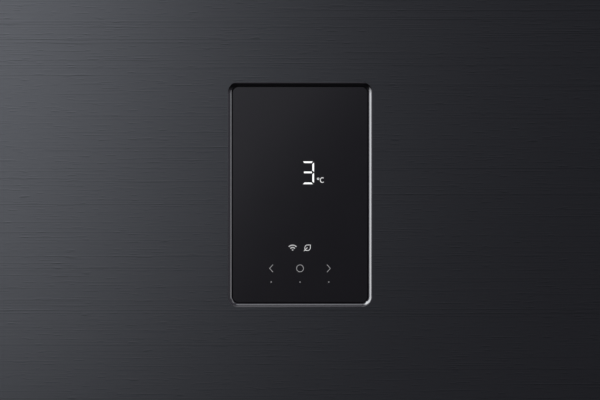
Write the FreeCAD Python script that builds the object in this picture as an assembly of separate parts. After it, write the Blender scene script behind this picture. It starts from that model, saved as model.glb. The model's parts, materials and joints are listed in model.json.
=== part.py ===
import FreeCAD, Part
import math
import os

V = FreeCAD.Vector

# Single-door refrigerator, in millimetres. +Z is up, the front faces -Y, the origin is on the floor
# in the middle of the footprint with the door shut. The door is drawn shut, then swung to its stop.

# Overall size with the door shut
WIDTH = 595.0
DEPTH = 694.0
HEIGHT = 1853.0

# Sheet, wall and insulation thicknesses
SHEET = 0.8
PAN_SHEET = 1.2
COVER_SHEET = 1.5
LINER = 2.0
SIDE_WALL = 55.0
TOP_WALL = 52.0
BACK_WALL = 60.0
FLOOR_WALL = 82.0
HUMP_WALL = 50.0

# Cabinet shell
BASE_HEIGHT = 34.0
FRONT_FLANGE = 36.0
RAIL_HEIGHT = 62.0
BEND_RADIUS = 3.0
CAVITY_RADIUS = 14.0
MACHINE_DEPTH = 178.0
MACHINE_HEIGHT = 176.0
LIP_HEIGHT = 14.0

# Stiffening beads pressed into the back panel
BEAD_COUNT = 3
BEAD_PITCH = 165.0
BEAD_WIDTH = 24.0
BEAD_DEPTH = 3.5
BEAD_MARGIN = 110.0

# Door leaf
DOOR_THICKNESS = 62.0
DOOR_FOOT_GAP = 26.0
DOOR_TOP_GAP = 2.0
DOOR_CORNER = 7.0
DOOR_BACK_CORNER = 2.5
DOOR_CAP = 9.0
CAP_EDGE = 1.5
DOOR_FLANGE = 20.0
DOOR_OPEN_ANGLE = 125.0

# Raised ribs round the door's inner face
RIB_MARGIN = 14.0
RIB_WIDTH = 26.0
RIB_DEPTH = 44.0
RIB_CORNER = 16.0

# Gasket between door and cabinet
GASKET_GAP = 14.0
GASKET_WIDTH = 20.0
GASKET_FOOT = 3.0
GASKET_HEAD = 4.5
GASKET_NARROW = 3.0
GASKET_EDGE_CLEARANCE = 0.5

# Hinges
HINGE_INSET_X = 14.0
HINGE_INSET_Y = 36.0
HINGE_PLATE = 4.0
HINGE_EYE = 9.0
HINGE_PIN = 5.0
HINGE_PIN_DEPTH = 20.0
HINGE_BASE_WIDTH = 92.0
HINGE_BASE_DEPTH = 54.0
HINGE_SETBACK = 6.0
HINGE_COLLAR = 8.0
HINGE_SCREWS = 3
TOP_SCREW_MARGIN = 18.0
BOTTOM_SCREW_RISE = 8.5
GUSSET_REACH = 18.0
BUSH_RADIUS = 8.5
BUSH_LENGTH = 24.0
BUSH_BOSS_WALL = 3.0
HINGE_COVER_HEIGHT = 15.0
HINGE_COVER_WALL = 2.0
HINGE_COVER_MARGIN = 10.0
HINGE_COVER_EDGE = 4.0
HINGE_COVER_CORNER = 8.0

# Recessed grip in the door's free edge
GRIP_LENGTH = 520.0
GRIP_HEIGHT = 1060.0
GRIP_DEPTH = 26.0
GRIP_MARGIN = 14.0
GRIP_WALL = 2.0
GRIP_CORNER = 10.0

# Display in the door
DISPLAY_WIDTH = 75.0
DISPLAY_HEIGHT = 117.0
DISPLAY_CORNER = 5.4
DISPLAY_Z = 1385.0
RIM = 2.1
RIM_ROLL = 3.0
RIM_FLAT = 0.05
RIM_DEPTH = 6.0
GLASS_RECESS = 1.7
DISPLAY_GLASS = 2.5
GLASS_GAP = 0.4
GLASS_LEDGE = 3.0
HOUSING_WALL = 2.0
HOUSING_DEPTH = 22.0
BOARD_THICKNESS = 1.6
BOARD_STANDOFF = 8.0
BOARD_MARGIN = 4.0
BOARD_POST = 2.5
DIGIT_BLOCK_WIDTH = 24.0
DIGIT_BLOCK_HEIGHT = 19.0
DIGIT_RISE = 11.5
KEY_PITCH = 15.0
KEY_DROP = 38.5
KEY_PAD = 4.5
KEY_COUNT = 3

# Glass shelves
SHELF_COUNT = 4
SHELF_PITCH = 265.0
SHELF_GLASS = 4.0
SHELF_FRONT_GAP = 24.0
SHELF_BACK_GAP = 6.0
SHELF_SIDE_GAP = 1.5
LEDGE_WIDTH = 9.0
LEDGE_HEIGHT = 7.0
TRIM_DEPTH = 16.0
TRIM_WALL = 3.0
BACK_TRIM_DEPTH = 10.0
BACK_TRIM_RISE = 8.0

# Crisper drawers
DRAWER_WALL = 2.5
DRAWER_FRONT = 8.0
DRAWER_SIDE_GAP = 26.0
DRAWER_FLANGE = 8.0
DRAWER_FLANGE_SHEET = 3.0
DRAWER_CORNER = 12.0
DRAWER_GAP = 10.0
LOWER_DRAWER_HEIGHT = 135.0
UPPER_DRAWER_HEIGHT = 150.0
DRAWER_TOP_GAP = 14.0
DRAWER_BACK_GAP = 8.0
DRAWER_GRIP_WIDTH = 180.0
DRAWER_GRIP_REACH = 12.0
DRAWER_GRIP_SHEET = 3.0
DRAWER_GRIP_DROP = 10.0
RUNNER_HEIGHT = 6.0
RUNNER_SIDE_GAP = 2.0

# Door bins, from the floor of the ribbed space upwards
BIN_COUNT = 4
BIN_PITCH = 390.0
BIN_FIRST = 24.0
BOTTLE_BIN_HEIGHT = 130.0
BIN_HEIGHT = 85.0
BIN_DEPTH = 95.0
BIN_WALL = 2.4
BIN_CORNER = 18.0
BIN_BACK_CORNER = 4.0
BIN_RIM_CORNER = 17.0
BIN_BACK_GAP = 1.0
BIN_RIM = 2.0
BIN_RIM_HEIGHT = 12.0
BOSS_REACH = 8.0
BOSS_DEPTH = 22.0
BOSS_HEIGHT = 12.0
BOSS_SETBACK = 12.0
BOSS_RISE = 30.0
EAR_GAP = 1.0
EAR_HEIGHT = 10.0

# Lamp in the ceiling
LAMP_LENGTH = 300.0
LAMP_WIDTH = 56.0
LAMP_HEIGHT = 9.0
LAMP_SETBACK = 120.0
LAMP_BORDER = 9.0
LAMP_CORNER = 10.0
LENS_SHEET = 3.0
LENS_CORNER = 5.0
LENS_SEAT = 4.0
LENS_GAP = 0.2

# Air duct, evaporator and its fan
DUCT_DEPTH = 66.0
DUCT_SIDE_GAP = 17.0
DUCT_TOP_GAP = 60.0
DUCT_WALL = 2.2
DUCT_CORNER = 20.0
VENT_WIDTH = 70.0
VENT_HEIGHT = 8.0
VENT_COUNT = 3
VENT_PITCH = 120.0
VENT_RISE = 150.0
RETURN_SLOTS = 17
RETURN_PITCH = 22.0
RETURN_WIDTH = 8.0
RETURN_HEIGHT = 34.0
RETURN_RISE = 14.0
EVAPORATOR_DEPTH = 50.0
EVAPORATOR_WIDTH = 360.0
EVAPORATOR_HEIGHT = 240.0
EVAPORATOR_RISE = 62.0
EVAPORATOR_ROWS = 6
COIL_TUBE = 4.0
FIN_SHEET = 0.6
FIN_PITCH = 20.0
AIR_FAN_RISE = 400.0
AIR_FAN_RADIUS = 52.0
AIR_MOTOR_RADIUS = 22.0
AIR_MOTOR_LENGTH = 20.0

# Fans
FAN_HUB = 14.0
FAN_WIDTH = 20.0
FAN_BLADES = 6
FAN_BLADE_SHEET = 1.6
FAN_BLADE_CHORD = 26.0
FAN_BLADE_PITCH = 38.0
FAN_STANDOFF = 2.0
FAN_SHAFT = 2.5

# Machine compartment
COMPRESSOR_RADIUS = 68.0
COMPRESSOR_HEIGHT = 118.0
COMPRESSOR_DOME = 34.0
COMPRESSOR_SEAM = 2.0
COMPRESSOR_SEAM_HEIGHT = 7.0
COMPRESSOR_PLATE = 3.0
MOUNT_SPAN_X = 150.0
MOUNT_SPAN_Y = 100.0
MOUNT_MARGIN = 13.0
GROMMET_RADIUS = 11.0
GROMMET_HEIGHT = 12.0
STUD_RADIUS = 4.0
NUT_RADIUS = 7.5
NUT_SIDES = 6
NUT_HEIGHT = 6.0
RELAY_DEPTH = 34.0
RELAY_WIDTH = 56.0
RELAY_HEIGHT = 58.0
RELAY_RISE = 26.0
RELAY_CORNER = 6.0
TRAY_LENGTH = 180.0
TRAY_WIDTH = 140.0
TRAY_HEIGHT = 22.0
TRAY_WALL = 2.0
TRAY_CORNER = 12.0
TRAY_SIDE_GAP = 23.7
DRAIN_RADIUS = 9.0
DRAIN_WALL = 2.0
DRAIN_DIP = 9.0
DRAIN_Y_INSET = 30.0
CONDENSER_FAN_GAP = 21.0
CONDENSER_SIDE_GAP = 31.7
CONDENSER_DEPTH = 96.0
CONDENSER_HEIGHT = 132.0
CONDENSER_ROWS = 6
COOLING_FAN_RADIUS = 54.0
COOLING_FAN_Z = 112.0
COOLING_MOTOR_RADIUS = 20.0
COOLING_MOTOR_LENGTH = 30.0
COOLING_MOTOR_GAP = 7.0
MOTOR_POST_WIDTH = 30.0
MOTOR_POST_INSET = 2.0
PIPE_RADIUS = 3.0
PIPE_BEND = 12.0
PIPE_STUB = 18.0
DISCHARGE_RISE = 30.0
SUCTION_RISE = 46.0
CONTROL_BOX_WIDTH = 80.0
CONTROL_BOX_DEPTH = 50.0
CONTROL_BOX_HEIGHT = 126.0
CONTROL_BOX_SIDE_GAP = 8.0
CONTROL_BOX_RISE = 30.0
CONTROL_BOX_CORNER = 6.0
LOUVRE_ROWS = 5
LOUVRE_COLUMNS = 4
LOUVRE_WIDTH = 84.0
LOUVRE_HEIGHT = 6.0
LOUVRE_PITCH_X = 104.0
LOUVRE_PITCH_Z = 19.0
INLET_INSET = 48.7
INLET_RISE = 86.0
INLET_WIDTH = 27.0
INLET_HEIGHT = 20.0
INLET_WALL = 1.8
INLET_DEPTH = 24.0
INLET_SOCKET = 17.0
INLET_FLANGE = 4.0
INLET_FLANGE_SHEET = 2.0
INLET_PIN_WIDTH = 2.0
INLET_PIN_HEIGHT = 4.0
INLET_PIN_PITCH = 7.0
INLET_PIN_LENGTH = 14.0

# Kick plate
KICK_SHEET = 3.0
KICK_FLOOR_GAP = 10.0
KICK_TOP_GAP = 6.0
KICK_END_GAP = 4.0
KICK_SLOTS = 30
KICK_SLOT_PITCH = 15.0
KICK_SLOT_WIDTH = 5.0
KICK_SLOT_MARGIN = 12.0

# Feet and rollers
FOOT_INSET_X = 44.0
FOOT_INSET_Y = 34.0
FOOT_RADIUS = 20.0
FOOT_PAD = 12.0
FOOT_EDGE = 2.0
FOOT_STUD = 5.0
FOOT_STUD_RISE = 20.0
FOOT_NUT_RADIUS = 10.0
FOOT_NUT_HEIGHT = 10.0
ROLLER_RADIUS = 16.0
ROLLER_WIDTH = 14.0
ROLLER_EDGE = 1.5
ROLLER_INSET_X = 40.0
ROLLER_INSET_Y = 45.0
ROLLER_AXLE = 3.0
FORK_SHEET = 2.0
FORK_LENGTH = 22.0
FORK_DROP = 6.0

# Screws
SCREW_RADIUS = 2.0
SCREW_LENGTH = 9.0
HINGE_SCREW_RADIUS = 3.0
HINGE_SCREW_LENGTH = 16.0
SCREW_HEAD_RATIO = 1.9
SLOT_END_RATIO = 0.49
SCREW_HEAD_HEIGHT = 2.4
SCREW_SLOT = 0.9
COVER_SCREW_INSET = 24.0
COVER_INSET = 3.0

# Clearances
RUN_FIT = 0.05
SEAT_FIT = 0.05
PLAY = 0.3
SLIDE_GAP = 0.2
PANEL_GAP = 0.4

# Places worked out from the sizes above
half_width = WIDTH / 2
door_front_y = -DEPTH / 2
back_y = DEPTH / 2
door_back_y = door_front_y + DOOR_THICKNESS
cab_front_y = door_back_y + GASKET_GAP
base_z = BASE_HEIGHT
cab_top_z = HEIGHT - HINGE_COVER_HEIGHT
shell_half = half_width - SHEET
pan_top_z = base_z + PAN_SHEET
rail_top_z = base_z + RAIL_HEIGHT
flange_half = half_width - FRONT_FLANGE
flange_top_z = cab_top_z - FRONT_FLANGE
inner_half = half_width - SIDE_WALL
floor_z = base_z + FLOOR_WALL
ceiling_z = cab_top_z - TOP_WALL
inner_back_y = back_y - BACK_WALL
machine_front_y = back_y - MACHINE_DEPTH
machine_top_z = base_z + MACHINE_HEIGHT
machine_wall_y = machine_front_y + SHEET
cover_outer_y = back_y - COVER_INSET
cover_inner_y = cover_outer_y - COVER_SHEET
hump_y = machine_front_y - HUMP_WALL
hump_z = machine_top_z + HUMP_WALL

door_bottom_z = base_z + DOOR_FOOT_GAP
door_top_z = cab_top_z - DOOR_TOP_GAP
leaf_bottom_z = door_bottom_z + DOOR_CAP
leaf_top_z = door_top_z - DOOR_CAP
hinge_x = half_width - HINGE_INSET_X
hinge_y = door_front_y + HINGE_INSET_Y
rib_half = inner_half - RIB_MARGIN
rib_inner_half = rib_half - RIB_WIDTH
rib_bottom_z = floor_z + RIB_MARGIN
rib_top_z = ceiling_z - RIB_MARGIN
bin_front_y = door_back_y + BIN_DEPTH

duct_front_y = inner_back_y - DUCT_DEPTH
duct_half = inner_half - DUCT_SIDE_GAP
shelf_front_y = bin_front_y + SHELF_FRONT_GAP
shelf_back_y = duct_front_y - SHELF_BACK_GAP
drawer_half = inner_half - DRAWER_SIDE_GAP
drawer_front_y = shelf_front_y + DRAWER_GRIP_REACH
lower_drawer_z = floor_z + DRAWER_GAP / 2
lower_drawer_top_z = lower_drawer_z + LOWER_DRAWER_HEIGHT
upper_drawer_z = max(hump_z, lower_drawer_top_z) + DRAWER_GAP
upper_drawer_top_z = upper_drawer_z + UPPER_DRAWER_HEIGHT
crisper_cover_z = upper_drawer_top_z + DRAWER_TOP_GAP

machine_mid_y = (machine_wall_y + cover_inner_y) / 2
control_box_x = CONTROL_BOX_SIDE_GAP - shell_half
tray_x = control_box_x + CONTROL_BOX_WIDTH + TRAY_SIDE_GAP
compressor_x = tray_x + TRAY_LENGTH / 2
mount_reach_x = MOUNT_SPAN_X / 2 + MOUNT_MARGIN
compressor_reach_x = max(TRAY_LENGTH / 2, mount_reach_x, COMPRESSOR_RADIUS + COMPRESSOR_SEAM)
cooling_motor_x = compressor_x + compressor_reach_x + COOLING_MOTOR_GAP
cooling_fan_x = cooling_motor_x + COOLING_MOTOR_LENGTH + FAN_STANDOFF
condenser_x = cooling_fan_x + FAN_WIDTH + CONDENSER_FAN_GAP
inlet_x = INLET_INSET - shell_half
compressor_z = pan_top_z + GROMMET_HEIGHT + COMPRESSOR_PLATE
compressor_top_z = compressor_z + COMPRESSOR_HEIGHT
drain_y = inner_back_y - DRAIN_Y_INSET
display_glass_y = door_front_y + GLASS_RECESS
display_back_y = display_glass_y + DISPLAY_GLASS
housing_back_y = door_front_y + SHEET + HOUSING_DEPTH
board_back_y = housing_back_y - HOUSING_WALL - BOARD_STANDOFF
board_front_y = board_back_y - BOARD_THICKNESS
foot_x = half_width - FOOT_INSET_X
foot_y = cab_front_y + FOOT_INSET_Y
roller_x = half_width - ROLLER_INSET_X
roller_y = back_y - ROLLER_INSET_Y


def both(half):
    """The range from -half to half."""
    return (-half, half)


def box(x, y, z):
    return Part.makeBox(x[1] - x[0], y[1] - y[0], z[1] - z[0], V(x[0], y[0], z[0]))


def point(plane, u, v, d):
    if plane == "xy":
        return V(u, v, d)
    if plane == "xz":
        return V(u, d, v)
    return V(d, u, v)


def rounded_prism(plane, u, v, d, radii):
    """Block over the ranges u, v and d whose four corners in the u-v plane are rounded."""
    if not isinstance(radii, tuple):
        radii = (radii,) * 4
    corners = [(u[0], v[0], 1, 1), (u[1], v[0], -1, 1), (u[1], v[1], -1, -1), (u[0], v[1], 1, -1)]
    sag = 1 - math.sqrt(0.5)
    arcs = []
    for index, ((cu, cv, su, sv), r) in enumerate(zip(corners, radii)):
        ends = [(cu, cv + sv * r), (cu + su * r, cv)]
        if index % 2:
            ends.reverse()
        middle = (cu + su * r * sag, cv + sv * r * sag)
        arcs.append([point(plane, a, b, d[0]) for a, b in (ends[0], middle, ends[1])])
    edges = []
    for arc, following in zip(arcs, arcs[1:] + arcs[:1]):
        if arc[0].distanceToPoint(arc[2]) > 0:
            edges.append(Part.Arc(*arc).toShape())
        edges.append(Part.LineSegment(arc[2], following[0]).toShape())
    face = Part.Face(Part.Wire(edges))
    return face.extrude(point(plane, 0, 0, d[1] - d[0]))


def rounded_ring(plane, u, v, d, width, radius):
    """Frame of one width round the inside of a rounded rectangle."""
    inner_u = (u[0] + width, u[1] - width)
    inner_v = (v[0] + width, v[1] - width)
    outer = rounded_prism(plane, u, v, d, radius)
    return outer.cut(rounded_prism(plane, inner_u, inner_v, d, max(radius - width, 0)))


def side_prism(points, x):
    """Outline in the Y-Z plane carried across the range x."""
    corners = [V(x[0], a, b) for a, b in points]
    face = Part.Face(Part.makePolygon(corners + corners[:1]))
    return face.extrude(V(x[1] - x[0], 0, 0))


def cylinder(radius, start, axis, length):
    return Part.makeCylinder(radius, length, start, axis)


def upright(radius, x, y, z):
    return cylinder(radius, V(x, y, z[0]), V(0, 0, 1), z[1] - z[0])


def mirrored(shape):
    return shape.mirror(V(0, 0, 0), V(1, 0, 0))


def pair(shape):
    """A shape and its mirror image across the middle of the refrigerator."""
    return [shape, mirrored(shape)]


def placed(shape, position, axis):
    """A shape drawn up the Z axis, laid along another axis from a position."""
    shape.Placement = FreeCAD.Placement(position, FreeCAD.Rotation(V(0, 0, 1), axis))
    return shape


def rounded_path(points, bend):
    """Straight runs through the points, joined by tangent arcs of one radius."""
    edges = []
    start = points[0]
    for before, corner, after in zip(points, points[1:], points[2:]):
        back = (before - corner).normalize()
        ahead = (after - corner).normalize()
        half_angle = back.getAngle(ahead) / 2
        reach = bend / math.tan(half_angle)
        inward = (back + ahead).normalize() * (bend / math.sin(half_angle) - bend)
        first = corner + back * reach
        last = corner + ahead * reach
        edges.append(Part.LineSegment(start, first).toShape())
        edges.append(Part.Arc(first, corner + inward, last).toShape())
        start = last
    edges.append(Part.LineSegment(start, points[-1]).toShape())
    return Part.Wire(edges)


def pipe(points, bend, radius):
    ring = Part.Wire(Part.makeCircle(radius, points[0], points[1] - points[0]))
    return rounded_path(points, bend).makePipeShell([ring], True, False)


def coil(x, rows, radius):
    """Tube that runs to and fro along X through the rows, with round bends at the ends."""
    edges = []
    for index, (y, z) in enumerate(rows):
        near, far = (x[0], x[1]) if index % 2 == 0 else (x[1], x[0])
        edges.append(Part.LineSegment(V(near, y, z), V(far, y, z)).toShape())
        if index + 1 < len(rows):
            next_y, next_z = rows[index + 1]
            step = math.hypot(next_y - y, next_z - z) / 2
            outward = far + math.copysign(step, far - near)
            middle = V(outward, (y + next_y) / 2, (z + next_z) / 2)
            edges.append(Part.Arc(V(far, y, z), middle, V(far, next_y, next_z)).toShape())
    ring = Part.Wire(Part.makeCircle(radius, V(x[0], rows[0][0], rows[0][1]), V(1, 0, 0)))
    return Part.Wire(edges).makePipeShell([ring], True, False)


def finned_coil(x, y, z, rows):
    """Serpentine tube through a row of thin upright fins."""
    pitch = (z[1] - z[0]) / rows
    middle = (y[0] + y[1]) / 2
    passes = [(middle, z[0] + pitch * (row + 0.5)) for row in range(rows)]
    tube = coil(x, passes, COIL_TUBE)
    count = int((x[1] - x[0]) / FIN_PITCH)
    first = (x[0] + x[1] - (count - 1) * FIN_PITCH - FIN_SHEET) / 2
    starts = [first + FIN_PITCH * index for index in range(count)]
    return tube.fuse([box((a, a + FIN_SHEET), y, z) for a in starts])


def screw(seat, axis, radius, length):
    """Pan-head screw: the head sits on the seat and the axis points into the work."""
    head = radius * SCREW_HEAD_RATIO
    top = -SCREW_HEAD_HEIGHT
    solid = upright(radius, 0, 0, (0, length)).fuse(upright(head, 0, 0, (top, 0)))
    slot_half = both(SCREW_SLOT / 2)
    slot_depth = (top, top / 2)
    cross = [box(both(radius), slot_half, slot_depth), box(slot_half, both(radius), slot_depth)]
    return placed(solid.cut(cross), seat, axis)


def fan(radius):
    """Axial fan along Z with pitched blades and a bore for its motor shaft."""
    reach = (FAN_HUB - FAN_BLADE_SHEET, radius)
    blade = box(reach, both(FAN_BLADE_CHORD / 2), both(FAN_BLADE_SHEET / 2))
    blade.rotate(V(0, 0, 0), V(1, 0, 0), FAN_BLADE_PITCH)
    blade.translate(V(0, 0, FAN_WIDTH / 2))
    blades = []
    for index in range(FAN_BLADES):
        turned = blade.copy()
        turned.rotate(V(0, 0, 0), V(0, 0, 1), 360.0 * index / FAN_BLADES)
        blades.append(turned)
    swept = upright(radius - FAN_BLADE_SHEET, 0, 0, (0, FAN_WIDTH))
    hub = upright(FAN_HUB, 0, 0, (0, FAN_WIDTH))
    whole = hub.fuse([each.common(swept) for each in blades])
    return whole.cut(upright(FAN_SHAFT + RUN_FIT, 0, 0, (0, FAN_WIDTH)))


def cavity(grow):
    """The cold compartment with its step over the machine compartment, grown all round."""
    outline = [
        (cab_front_y, floor_z - grow),
        (hump_y + grow, floor_z - grow),
        (hump_y + grow, hump_z - grow),
        (inner_back_y + grow, hump_z - grow),
        (inner_back_y + grow, ceiling_z + grow),
        (cab_front_y, ceiling_z + grow),
    ]
    room = side_prism(outline, both(inner_half + grow))
    rounded = []
    for edge in room.Edges:
        middle = edge.CenterOfMass
        if middle.z > hump_z + LINER and middle.y > cab_front_y + LINER:
            rounded.append(edge)
    return room.makeFillet(CAVITY_RADIUS + grow, rounded)


def liner_flange():
    """Liner turned out over the front of the foam, up to the steel flanges."""
    return box(both(flange_half), (cab_front_y, cab_front_y + LINER), (rail_top_z, flange_top_z))


def shell_plan(y, z):
    """Block that fills the bent side panels, with the radius of their front bends."""
    inside = BEND_RADIUS - SHEET
    return rounded_prism("xy", both(shell_half), y, z, (inside, inside, 0, 0))


def top_screw_seats():
    """Middles of the top hinge screws, on the hinge plate."""
    spacing = HINGE_BASE_WIDTH / (HINGE_SCREWS + 1)
    left = half_width - HINGE_SETBACK - HINGE_BASE_WIDTH
    y = cab_front_y + HINGE_SETBACK + HINGE_BASE_DEPTH - TOP_SCREW_MARGIN
    z = cab_top_z + HINGE_PLATE
    return [V(left + spacing * (index + 1), y, z) for index in range(HINGE_SCREWS)]


def bottom_screw_seats():
    """Middles of the bottom hinge screws, on the front of its upright plate."""
    spacing = HINGE_BASE_WIDTH / (HINGE_SCREWS + 1)
    left = half_width - HINGE_SETBACK - HINGE_BASE_WIDTH
    y = cab_front_y - HINGE_PLATE
    z = base_z + BOTTOM_SCREW_RISE
    return [V(left + spacing * (index + 1), y, z) for index in range(HINGE_SCREWS)]


def hinge_screw_holes(clearance):
    down = V(0, 0, -1)
    inward = V(0, 1, 0)
    radius = HINGE_SCREW_RADIUS + clearance
    length = HINGE_SCREW_LENGTH + PLAY
    holes = [cylinder(radius, seat, down, length) for seat in top_screw_seats()]
    return holes + [cylinder(radius, seat, inward, length) for seat in bottom_screw_seats()]


def drain_bore():
    radius = DRAIN_RADIUS + SEAT_FIT
    return upright(radius, compressor_x, drain_y, (machine_top_z - LIP_HEIGHT, hump_z))


def side_panel():
    sheet_x = (flange_half, half_width)
    tall = (base_z, cab_top_z)
    outer = rounded_prism("xy", sheet_x, (cab_front_y, back_y), tall, (0, BEND_RADIUS, 0, 0))
    inside = BEND_RADIUS - SHEET
    inner_x = (flange_half - SHEET, shell_half)
    inner_y = (cab_front_y + SHEET, back_y + SHEET)
    return outer.cut(rounded_prism("xy", inner_x, inner_y, tall, (0, inside, 0, 0)))


def top_panel():
    sheet = shell_plan((cab_front_y + SHEET, back_y - SHEET), (cab_top_z - SHEET, cab_top_z))
    front = box(both(flange_half), (cab_front_y, cab_front_y + SHEET), (flange_top_z, cab_top_z))
    return sheet.fuse(front).cut(hinge_screw_holes(SEAT_FIT))


def back_beads(grow):
    """Upright round-ended rods whose fronts shape the beads of the back panel, grown all round."""
    radius = (BEAD_WIDTH ** 2 / 4 + BEAD_DEPTH ** 2) / (2 * BEAD_DEPTH)
    reach = radius + grow
    low = machine_top_z + BEAD_MARGIN
    high = cab_top_z - BEAD_MARGIN
    slant = reach * math.sqrt(0.5)
    foot = Part.Arc(V(0, 0, low - reach), V(slant, 0, low - slant), V(reach, 0, low)).toShape()
    side = Part.LineSegment(V(reach, 0, low), V(reach, 0, high)).toShape()
    head = Part.Arc(V(reach, 0, high), V(slant, 0, high + slant), V(0, 0, high + reach)).toShape()
    axis = Part.LineSegment(V(0, 0, high + reach), V(0, 0, low - reach)).toShape()
    rod = Part.Face(Part.Wire([foot, side, head, axis])).revolve(V(0, 0, 0), V(0, 0, 1), 360)
    rods = []
    for index in range(BEAD_COUNT):
        moved = rod.copy()
        x = (index - (BEAD_COUNT - 1) / 2) * BEAD_PITCH
        moved.translate(V(x, back_y + radius - BEAD_DEPTH, 0))
        rods.append(moved)
    return rods


def back_panel():
    """Flat sheet with long beads pressed into it towards the foam."""
    tall = (machine_top_z - SHEET, cab_top_z)
    sheet = box(both(shell_half), (back_y - SHEET, back_y), tall)
    room = box(both(shell_half), (back_y - SHEET - BEAD_DEPTH, back_y), tall)
    pressed = [rod.common(room) for rod in back_beads(SHEET)]
    return sheet.fuse(pressed).cut(back_beads(0))


def cabinet_foam():
    block = shell_plan((cab_front_y + SHEET, back_y - SHEET), (pan_top_z, cab_top_z - SHEET))
    machine = box(both(half_width), (machine_front_y, back_y), (base_z, machine_top_z))
    stud_top = base_z + FOOT_NUT_HEIGHT + FOOT_STUD_RISE
    stud = upright(FOOT_NUT_RADIUS + PLAY, foot_x, foot_y, (base_z, stud_top + PLAY))
    cuts = [machine, cavity(LINER), liner_flange(), drain_bore()] + pair(stud) + back_beads(SHEET)
    return block.cut(cuts + hinge_screw_holes(SEAT_FIT))


def ledge(width, top_z, height, y):
    """Ledge on the right wall of the liner."""
    return box((inner_half - width, inner_half), y, (top_z - height, top_z))


def shelf_levels():
    return [crisper_cover_z + SHELF_PITCH * (index + 1) for index in range(SHELF_COUNT)]


def drawer_runner(top_z, back):
    width = inner_half - drawer_half - RUNNER_SIDE_GAP
    runner_top = top_z - DRAWER_FLANGE_SHEET - SLIDE_GAP
    return ledge(width, runner_top, RUNNER_HEIGHT, (drawer_front_y + DRAWER_FRONT, back))


def cabinet_liner():
    skin = cavity(LINER).fuse(liner_flange()).cut(cavity(0))
    ledge_y = (shelf_front_y + TRIM_DEPTH + PLAY, shelf_back_y - BACK_TRIM_DEPTH - PLAY)
    added = []
    for level in [crisper_cover_z] + shelf_levels():
        added += pair(ledge(LEDGE_WIDTH, level, LEDGE_HEIGHT, ledge_y))
    added += pair(drawer_runner(lower_drawer_top_z, hump_y))
    added += pair(drawer_runner(upper_drawer_top_z, shelf_back_y))
    return skin.fuse(added).cut(drain_bore())


def roller_fork():
    """Two cheeks under the pan with the roller's axle between them, on the right side."""
    gap = ROLLER_WIDTH / 2 + PLAY
    along = (roller_y - FORK_LENGTH / 2, roller_y + FORK_LENGTH / 2)
    tall = (ROLLER_RADIUS - FORK_DROP, base_z)
    inner = box((roller_x - gap - FORK_SHEET, roller_x - gap), along, tall)
    outer = box((roller_x + gap, roller_x + gap + FORK_SHEET), along, tall)
    start = V(roller_x - gap - FORK_SHEET, roller_y, ROLLER_RADIUS)
    axle = cylinder(ROLLER_AXLE, start, V(1, 0, 0), 2 * (gap + FORK_SHEET))
    return [inner, outer, axle]


def mount_places():
    """Middles of the four compressor mounts."""
    return [
        (compressor_x + sx * MOUNT_SPAN_X / 2, machine_mid_y + sy * MOUNT_SPAN_Y / 2)
        for sx in (-1, 1)
        for sy in (-1, 1)
    ]


def cover_screw_seats():
    """Middles of the machine cover's screws, on the back of the cover."""
    x = shell_half - COVER_SCREW_INSET
    low = base_z + LIP_HEIGHT / 2
    high = machine_top_z - LIP_HEIGHT / 2
    return [V(side * x, cover_outer_y, z) for side in (-1, 1) for z in (low, high)]


def cover_screw_holes(clearance):
    length = SCREW_LENGTH + PLAY
    radius = SCREW_RADIUS + clearance
    return [cylinder(radius, seat, V(0, -1, 0), length) for seat in cover_screw_seats()]


def base_pan():
    plate = shell_plan((cab_front_y + SHEET, cover_inner_y), (base_z, pan_top_z))
    rail = box(both(flange_half), (cab_front_y, cab_front_y + SHEET), (base_z, rail_top_z))
    lip_y = (cover_inner_y - PAN_SHEET, cover_inner_y)
    lip = box(both(shell_half - COVER_SHEET), lip_y, (base_z, base_z + LIP_HEIGHT))
    nut = upright(FOOT_NUT_RADIUS, foot_x, foot_y, (base_z, base_z + FOOT_NUT_HEIGHT))
    added = [rail, lip] + pair(nut)
    for piece in roller_fork():
        added += pair(piece)
    stud_top = pan_top_z + GROMMET_HEIGHT + COMPRESSOR_PLATE + NUT_HEIGHT
    for x, y in mount_places():
        added.append(upright(STUD_RADIUS, x, y, (base_z, stud_top)))
    bore = upright(FOOT_STUD + RUN_FIT, foot_x, foot_y, (base_z, base_z + FOOT_NUT_HEIGHT))
    holes = pair(bore) + cover_screw_holes(SEAT_FIT) + hinge_screw_holes(SEAT_FIT)
    return plate.fuse(added).cut(holes)


def machine_bulkhead():
    """Sheet that lines the foam over and in front of the machine compartment."""
    wide = both(shell_half)
    wall = box(wide, (machine_front_y, machine_wall_y), (pan_top_z, machine_top_z))
    roof_z = (machine_top_z - SHEET, machine_top_z)
    roof = box(wide, (machine_front_y, cover_inner_y), roof_z)
    lip_y = (cover_inner_y - SHEET, cover_inner_y)
    lip = box(both(shell_half - COVER_SHEET), lip_y, (machine_top_z - LIP_HEIGHT, machine_top_z))
    return wall.fuse([roof, lip]).cut(cover_screw_holes(SEAT_FIT) + [drain_bore()])


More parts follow.
